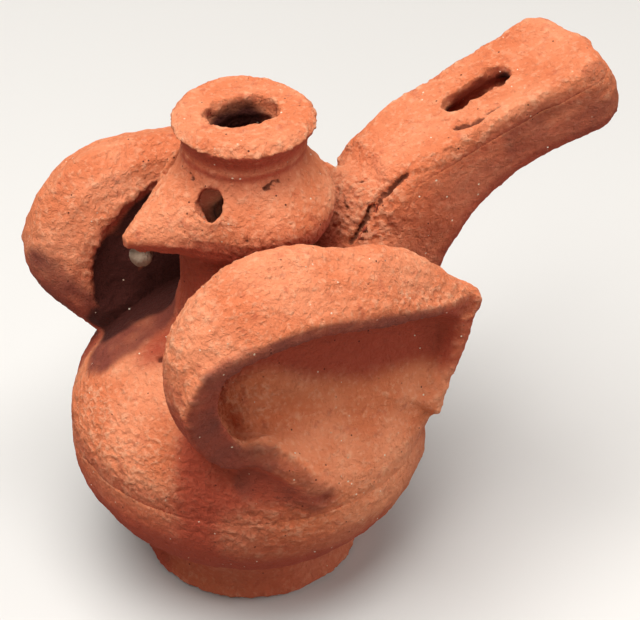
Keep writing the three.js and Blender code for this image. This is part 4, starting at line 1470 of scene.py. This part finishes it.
@dataclass(frozen=True)
class Earthenware:
    """Unglazed red earthenware with coarse grog, pinched by hand and fired in an open wood fire.

    The iron in the clay fires orange where air reached it and brown to plum where smoke did. The same plum
    is painted shade on faces turned from the lamps. Painted light makes open faces that look up paler, and
    painted shade darkens the clay under overhangs, in deep hollows and clefts, and in pits and cracks. The
    skin is dry and matt, with pale grog grains at the surface and pits where others fell out. Lengths are in
    mm. Real grit is about 0.5 mm wide, and it is drawn at 0.6 mm so that it shows.
    """

    name: str = "unglazed_grogged_terracotta"
    bright: str = "#ea9267"
    warm: str = "#dd7c50"
    # Deep terracotta for a random mottle, and painted shade under overhangs and on faces that look down.
    deep: str = "#b44c34"
    # Plum for smoke, and painted shade on faces turned from the lamps.
    smoke_shade: str = "#864132"
    # Pale painted highlight on open faces that look up.
    painted_light: str = "#f2b48c"
    grog: str = "#ecd9bd"
    # Painted shade in pits and cracks, and the colour of dark grains.
    pit: str = "#5a241a"
    # Painted shade deep in hollows and clefts.
    dark_shade: str = "#451a12"
    roughness: float = 0.9
    diffuse_roughness: float = 0.5
    specular: float = 0.25
    cloud: float = 16.0
    mottle: float = 3.0
    grain: float = 0.6
    grain_spacing: float = 2.2
    grain_core: tuple[float, float] = (0.22, 0.1)
    grit_depth: float = 0.65
    grit_strength: float = 1.0
    coarse_depth: float = 1.3
    coarse_strength: float = 0.8

    MASKS = ("fine", "smoke_and_shade", "dark_shade", "painted_light")

    def patterns(self) -> list[tuple[str, float, float, float]]:
        """The name, width in mm, detail and roughness of each noise pattern in the clay."""
        return [
            ("cloud", self.cloud, 2.0, 0.55),
            ("mottle", self.mottle, 4.0, 0.55),
            ("speck", self.grain * 2, 4.0, 0.55),
            ("grit", self.grain, 3.0, 0.7),
            ("coarse", self.grain * 3, 2.0, 0.55),
        ]

    def tints(self) -> list[Tint]:
        """The colours over the warm ground, in their order. Each grain's two draws pick the few that show."""
        return [
            Tint("cloud", 0.35, 0.65, self.bright),
            # Painted shade: deep terracotta under overhangs and on faces that look down.
            Tint("painted_light", 0.0, 0.9, self.deep, least=1.0, most=0.0),
            # Painted highlight: pale specks on open faces that look up.
            Tint("speck", 0.5, 0.7, self.painted_light, most=0.4, within="painted_light"),
            # Painted highlight on the raised grit of those faces.
            Tint("fine", 0.02, 0.2, self.painted_light, most=0.5, within="painted_light"),
            Tint("mottle", 0.56, 0.75, self.deep, most=0.45),
            # Plum for smoke, and painted shade.
            Tint("smoke_and_shade", 0.1, 0.9, self.smoke_shade),
            # Painted shade in hollows and clefts.
            Tint("dark_shade", 0.1, 0.8, self.dark_shade),
            # Painted shade in pits and cracks.
            Tint("fine", -0.05, -0.3, self.pit, most=0.75),
            Tint("first draw", 0.965, 0.985, self.grog, within="grain"),
            Tint("second draw", 0.93, 0.96, self.pit, within="grain"),
        ]

    def paint(self, piece: bpy.types.Object, masks: dict[str, np.ndarray]) -> None:
        """Give a piece the finish and the masks that steer it.

        Args:
            piece: The mesh object.
            masks: A number for each vertex, by the name of the mask.
        """
        for name, values in masks.items():
            layer = piece.data.attributes.new(name, "FLOAT", "POINT")
            layer.data.foreach_set("value", values.astype(np.float32))
        piece.data.materials.append(self.material())

    def material(self) -> bpy.types.Material:
        """Build the material the first time it is asked for: tints over a warm ground, then two bumps.

        Returns:
            The material.
        """
        if self.name in bpy.data.materials:
            return bpy.data.materials[self.name]
        made, tree = blank_material(self.name)
        place = {"Vector": add_node(tree, "ShaderNodeTexCoord").outputs["Object"]}
        masks = {
            name: add_node(tree, "ShaderNodeAttribute", {"attribute_name": name}).outputs["Fac"]
            for name in self.MASKS
        }
        for name, width, detail, roughness in self.patterns():
            settings = {"Scale": 1 / (width * MM), "Detail": detail, "Roughness": roughness}
            masks[name] = add_node(tree, "ShaderNodeTexNoise", settings, place).outputs["Fac"]
        settings = {"Scale": 1 / (self.grain * self.grain_spacing * MM), "Randomness": 1.0}
        grains = add_node(tree, "ShaderNodeTexVoronoi", settings, place).outputs
        smooth = {"interpolation_type": "SMOOTHSTEP"}
        core = smooth | dict(enumerate(self.grain_core, 1))
        masks["grain"] = add_node(tree, "ShaderNodeMapRange", core, {0: grains["Distance"]}).outputs[0]
        draws = add_node(tree, "ShaderNodeSeparateColor", {}, {0: grains["Color"]}).outputs
        masks |= {"first draw": draws[0], "second draw": draws[1]}
        below = {}
        for tint in self.tints():
            ramp = {1: tint.low, 2: tint.high, 3: tint.least, 4: tint.most}
            share = add_node(tree, "ShaderNodeMapRange", smooth | ramp, {0: masks[tint.mask]})
            if tint.within:
                factors = {0: masks[tint.within], 1: share.outputs[0]}
                share = add_node(tree, "ShaderNodeMath", {"operation": "MULTIPLY"}, factors)
            settings = {"data_type": "RGBA", 6: linear(self.warm), 7: linear(tint.colour)}
            mixed = add_node(tree, "ShaderNodeMix", settings, {0: share.outputs[0]} | below)
            below = {6: mixed.outputs[2]}
        normal = {}
        for name, strength, depth in (
            ("grit", self.grit_strength, self.grit_depth),
            ("coarse", self.coarse_strength, self.coarse_depth),
        ):
            settings = {"Strength": strength, "Distance": depth * MM}
            bumped = add_node(tree, "ShaderNodeBump", settings, {"Height": masks[name]} | normal)
            normal = {"Normal": bumped.outputs[0]}
        settings = {
            "Roughness": self.roughness,
            "Diffuse Roughness": self.diffuse_roughness,
            "Specular IOR Level": self.specular,
        }
        skin = {"Base Color": below[6]} | normal
        shader = add_node(tree, "ShaderNodeBsdfPrincipled", settings, skin)
        add_node(tree, "ShaderNodeOutputMaterial", {}, {"Surface": shader.outputs[0]})
        return made


# Pale clay with little iron in it, for the throat pellet: chalky beige, so that it stands out under the beak.
PALE_CLAY = Earthenware(
    name="unglazed_pale_slip_clay",
    bright="#cdb79f",
    warm="#b89e86",
    deep="#8d6a55",
    # Plum for smoke and painted shade, and the pale painted highlight, in the pale clay's tones.
    smoke_shade="#6d5547",
    painted_light="#dccab4",
    grog="#efe6d6",
    pit="#57382a",
)


@dataclass(frozen=True)
class Quartz:
    """Crushed quartz and pale grog that the potter wedged into the clay: chalky, hardly shiny grains.

    The stained patches are as wide in mm as the field says.
    """

    name: str = "crushed_quartz_grog"
    pale: str = "#efdfc6"
    stained: str = "#cf9a76"
    roughness: float = 0.55
    patch: float = 4.0
    patch_edge: tuple[float, float] = (0.42, 0.62)

    def material(self) -> bpy.types.Material:
        """Build the material, with patches where the clay stained the grains.

        Returns:
            The material.
        """
        made, tree = blank_material(self.name)
        place = add_node(tree, "ShaderNodeTexCoord").outputs["Object"]
        patches = add_node(tree, "ShaderNodeTexNoise", {"Scale": 1 / (self.patch * MM)}, {"Vector": place})
        edge = dict(enumerate(self.patch_edge, 1))
        share = add_node(tree, "ShaderNodeMapRange", edge, {"Value": patches.outputs["Fac"]})
        colours = {"data_type": "RGBA", 6: linear(self.pale), 7: linear(self.stained)}
        mixed = add_node(tree, "ShaderNodeMix", colours, {0: share.outputs[0]})
        skin = {"Base Color": mixed.outputs[2]}
        shader = add_node(tree, "ShaderNodeBsdfPrincipled", {"Roughness": self.roughness}, skin)
        add_node(tree, "ShaderNodeOutputMaterial", {}, {"Surface": shader.outputs[0]})
        return made


@dataclass
class GrogGrains:
    """Pale grains of grog that stand out of the skin, scattered by Geometry Nodes. Radii are in mm."""

    per_square_metre: float = 4500.0
    smallest: float = 0.1
    largest: float = 0.24
    full_turn: float = 6.28
    seed: int = Seed.GRAINS

    NAME = "grog-grains"
    SIZES = ("Grains per square metre", "Smallest radius", "Largest radius")

    def tree(self, material: bpy.types.Material) -> bpy.types.NodeTree:
        """The node tree that scatters the grains over a surface and keeps only the grains.

        Args:
            material: The grains' material.

        Returns:
            The tree, with its sizes as named inputs.
        """
        tree = bpy.data.node_groups.new(self.NAME, "GeometryNodeTree")
        tree.is_modifier = True
        tree.interface.new_socket("Surface", in_out="INPUT", socket_type="NodeSocketGeometry")
        for name in self.SIZES:
            tree.interface.new_socket(name, in_out="INPUT", socket_type="NodeSocketFloat")
        tree.interface.new_socket("Seed", in_out="INPUT", socket_type="NodeSocketInt")
        tree.interface.new_socket("Grains", in_out="OUTPUT", socket_type="NodeSocketGeometry")
        given = add_node(tree, "NodeGroupInput").outputs
        surface, density, smallest, largest, seed = (given[number] for number in range(5))
        bare = add_node(tree, "GeometryNodeInputNamedAttribute", {"data_type": "FLOAT", "Name": "bare"})
        where = {"Mesh": surface, "Selection": bare.outputs[0], "Density": density, "Seed": seed}
        settings = {"distribute_method": "RANDOM"}
        spots = add_node(tree, "GeometryNodeDistributePointsOnFaces", settings, where)
        grain = add_node(tree, "GeometryNodeMeshIcoSphere", {"Radius": 1.0, "Subdivisions": 1})
        limits = {2: smallest, 3: largest, "Seed": seed}
        size = add_node(tree, "FunctionNodeRandomValue", {"data_type": "FLOAT"}, limits)
        settings = {"data_type": "FLOAT_VECTOR", 1: (self.full_turn,) * 3}
        turn = add_node(tree, "FunctionNodeRandomValue", settings, {"Seed": seed})
        laid = add_node(
            tree,
            "GeometryNodeInstanceOnPoints",
            {},
            {
                "Points": spots.outputs[0],
                "Instance": grain.outputs[0],
                "Rotation": turn.outputs[0],
                "Scale": size.outputs[1],
            },
        )
        real = add_node(tree, "GeometryNodeRealizeInstances", {}, {0: laid.outputs[0]})
        painted = add_node(tree, "GeometryNodeSetMaterial", {"Material": material}, {0: real.outputs[0]})
        add_node(tree, "NodeGroupOutput", {}, {0: painted.outputs[0]})
        return tree

    def build(self, pieces: list[bpy.types.Object]) -> bpy.types.Object:
        """Scatter the grains over the finished pieces and make them one plain mesh.

        Args:
            pieces: The finished pieces of clay.

        Returns:
            The grains.
        """
        material = Quartz().material()
        tree = self.tree(material)
        sizes = (self.per_square_metre, self.smallest * MM, self.largest * MM)
        values = dict(zip(self.SIZES, sizes))
        joined = bmesh.new()
        for number, piece in enumerate(pieces):
            host = put_in_scene("grain-host", piece.data)
            modifier = host.modifiers.new("grains", "NODES")
            modifier.node_group = tree
            values["Seed"] = self.seed + number
            for socket in tree.interface.items_tree:
                if socket.name in values:
                    modifier[socket.identifier] = values[socket.name]
            evaluated = host.evaluated_get(bpy.context.evaluated_depsgraph_get())
            joined.from_mesh(bpy.data.meshes.new_from_object(evaluated))
            bpy.data.objects.remove(host)
        mesh = bpy.data.meshes.new(self.NAME)
        joined.to_mesh(mesh)
        joined.free()
        mesh.materials.append(material)
        made = put_in_scene(self.NAME, mesh)
        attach(made, BODY)
        LOG.info("%s: %d faces", self.NAME, len(mesh.polygons))
        return made


@dataclass(frozen=True)
class Lamp:
    """A square soft lamp, placed round the target in degrees and metres, with its width and its watts."""

    name: str
    azimuth: float
    elevation: float
    distance: float
    width: float
    watts: float


@dataclass
class Studio:
    """Camera, lamps and floor. Sizes are in metres and degrees."""

    target: Point = (0.018, 0.0, 0.0575)
    azimuth: float = -28.0
    elevation: float = 37.0
    distance: float = 0.56
    lens: float = 141.75
    sensor: float = 36.0
    floor_size: float = 6.0
    floor_colour: str = "#dedbd6"
    shade_colour: str = "#4a4644"
    floor_roughness: float = 0.8
    nearest_seen: float = 0.01
    lamps: tuple[Lamp, ...] = (
        Lamp("key", -75.0, 77.0, 0.9, 0.8, 13.0),
        Lamp("side-fill", 62.0, 12.0, 1.3, 0.8, 8.5),
        Lamp("front-fill", -40.0, 6.0, 1.3, 0.8, 6.0),
    )

    def away(self, azimuth: float, elevation: float, distance: float) -> Vector:
        """A point seen from the target in a given direction.

        Args:
            azimuth: Degrees round from the front, towards +X.
            elevation: Degrees above the floor.
            distance: Metres from the target.

        Returns:
            The point.
        """
        a, e = math.radians(azimuth), math.radians(elevation)
        back = Vector((math.sin(a) * math.cos(e), -math.cos(a) * math.cos(e), math.sin(e)))
        return Vector(self.target) + back * distance

    def aim(self, thing: bpy.types.Object, place: Vector) -> None:
        """Put a camera or lamp somewhere, turned to the target."""
        thing.location = place
        thing.rotation_euler = (Vector(self.target) - place).to_track_quat("-Z", "Y").to_euler()

    def camera(self) -> None:
        """The camera at the photograph's angle."""
        data = bpy.data.cameras.new("camera")
        data.lens = self.lens
        data.sensor_width = self.sensor
        data.sensor_fit = "HORIZONTAL"
        data.clip_start = self.nearest_seen
        thing = put_in_scene("camera", data)
        self.aim(thing, self.away(self.azimuth, self.elevation, self.distance))
        bpy.context.scene.camera = thing

    def light(self, lamp: Lamp) -> None:
        """Hang one lamp.

        Args:
            lamp: The lamp.
        """
        data = bpy.data.lights.new(lamp.name, "AREA")
        data.size = lamp.width
        data.energy = lamp.watts
        self.aim(put_in_scene(lamp.name, data), self.away(lamp.azimuth, lamp.elevation, lamp.distance))

    def floor(self) -> None:
        """The plain floor: matt pale paint, which gives the eye a soft grey ground with a shadow on it."""
        half = self.floor_size / 2
        mesh = bpy.data.meshes.new("floor")
        corners = [(-half, -half, 0), (half, -half, 0), (half, half, 0), (-half, half, 0)]
        mesh.from_pydata(corners, [], [(0, 1, 2, 3)])
        material = bpy.data.materials.new("pale_floor_paint")
        material.use_nodes = True
        tree = material.node_tree
        shader = tree.nodes["Principled BSDF"]
        shader.inputs["Roughness"].default_value = self.floor_roughness
        tree.links.new(self.seen_or_shed(tree), shader.inputs["Base Color"])
        mesh.materials.append(material)
        put_in_scene("floor", mesh)

    def seen_or_shed(self, tree: bpy.types.NodeTree) -> bpy.types.NodeSocket:
        """The pale colour where the camera or a reflection sees it, and a dim one for the light it sheds.

        Args:
            tree: The node tree of the floor or the world.

        Returns:
            The colour.
        """
        rays = add_node(tree, "ShaderNodeLightPath").outputs
        seen = rays["Is Camera Ray"]
        for ray in ("Is Glossy Ray", "Is Transmission Ray"):
            either = add_node(tree, "ShaderNodeMath", {"operation": "MAXIMUM"}, {0: seen, 1: rays[ray]})
            seen = either.outputs[0]
        colours = {6: linear(self.shade_colour), 7: linear(self.floor_colour)}
        mixed = add_node(tree, "ShaderNodeMix", {"data_type": "RGBA"} | colours, {0: seen})
        return mixed.outputs[2]

    def build(self) -> None:
        """Make the whole studio."""
        scene = bpy.context.scene
        scene.view_settings.view_transform = "Standard"
        world = bpy.data.worlds.new("studio_air")
        scene.world = world
        world.use_nodes = True
        tree = world.node_tree
        tree.links.new(self.seen_or_shed(tree), tree.nodes["Background"].inputs["Color"])
        self.camera()
        for lamp in self.lamps:
            self.light(lamp)
        self.floor()


def main() -> None:
    """Build the studio, then the whistle sub-assembly by sub-assembly."""
    logging.basicConfig(level=logging.INFO, format="%(message)s")
    Studio().build()
    groups = [Body(), Head(), Tail(), Wings()]
    joins = [join for group in groups for join in group.joins()]
    clay = ClayVolume(Lattice(), joins)
    relief = Relief(
        marks=[mark for group in groups for mark in group.marks()],
        crawled=[region for group in groups for region in group.crawled()],
        sandy=[region for group in groups for region in group.sandy()],
        painted_lit=[region for group in groups for region in group.painted_lit()],
        smoked_and_shaded=[region for group in groups for region in group.smoked_and_shaded()],
        painted_shade=[region for group in groups for region in group.painted_shade()],
    )
    finishes = {Slot.TERRACOTTA: Earthenware(), Slot.DEEP: Earthenware(), Slot.PALE: PALE_CLAY}
    pieces = [piece for group in groups for piece in group.build(clay, relief, finishes)]
    GrogGrains().build(pieces)


if __name__ == "__main__":
    main()
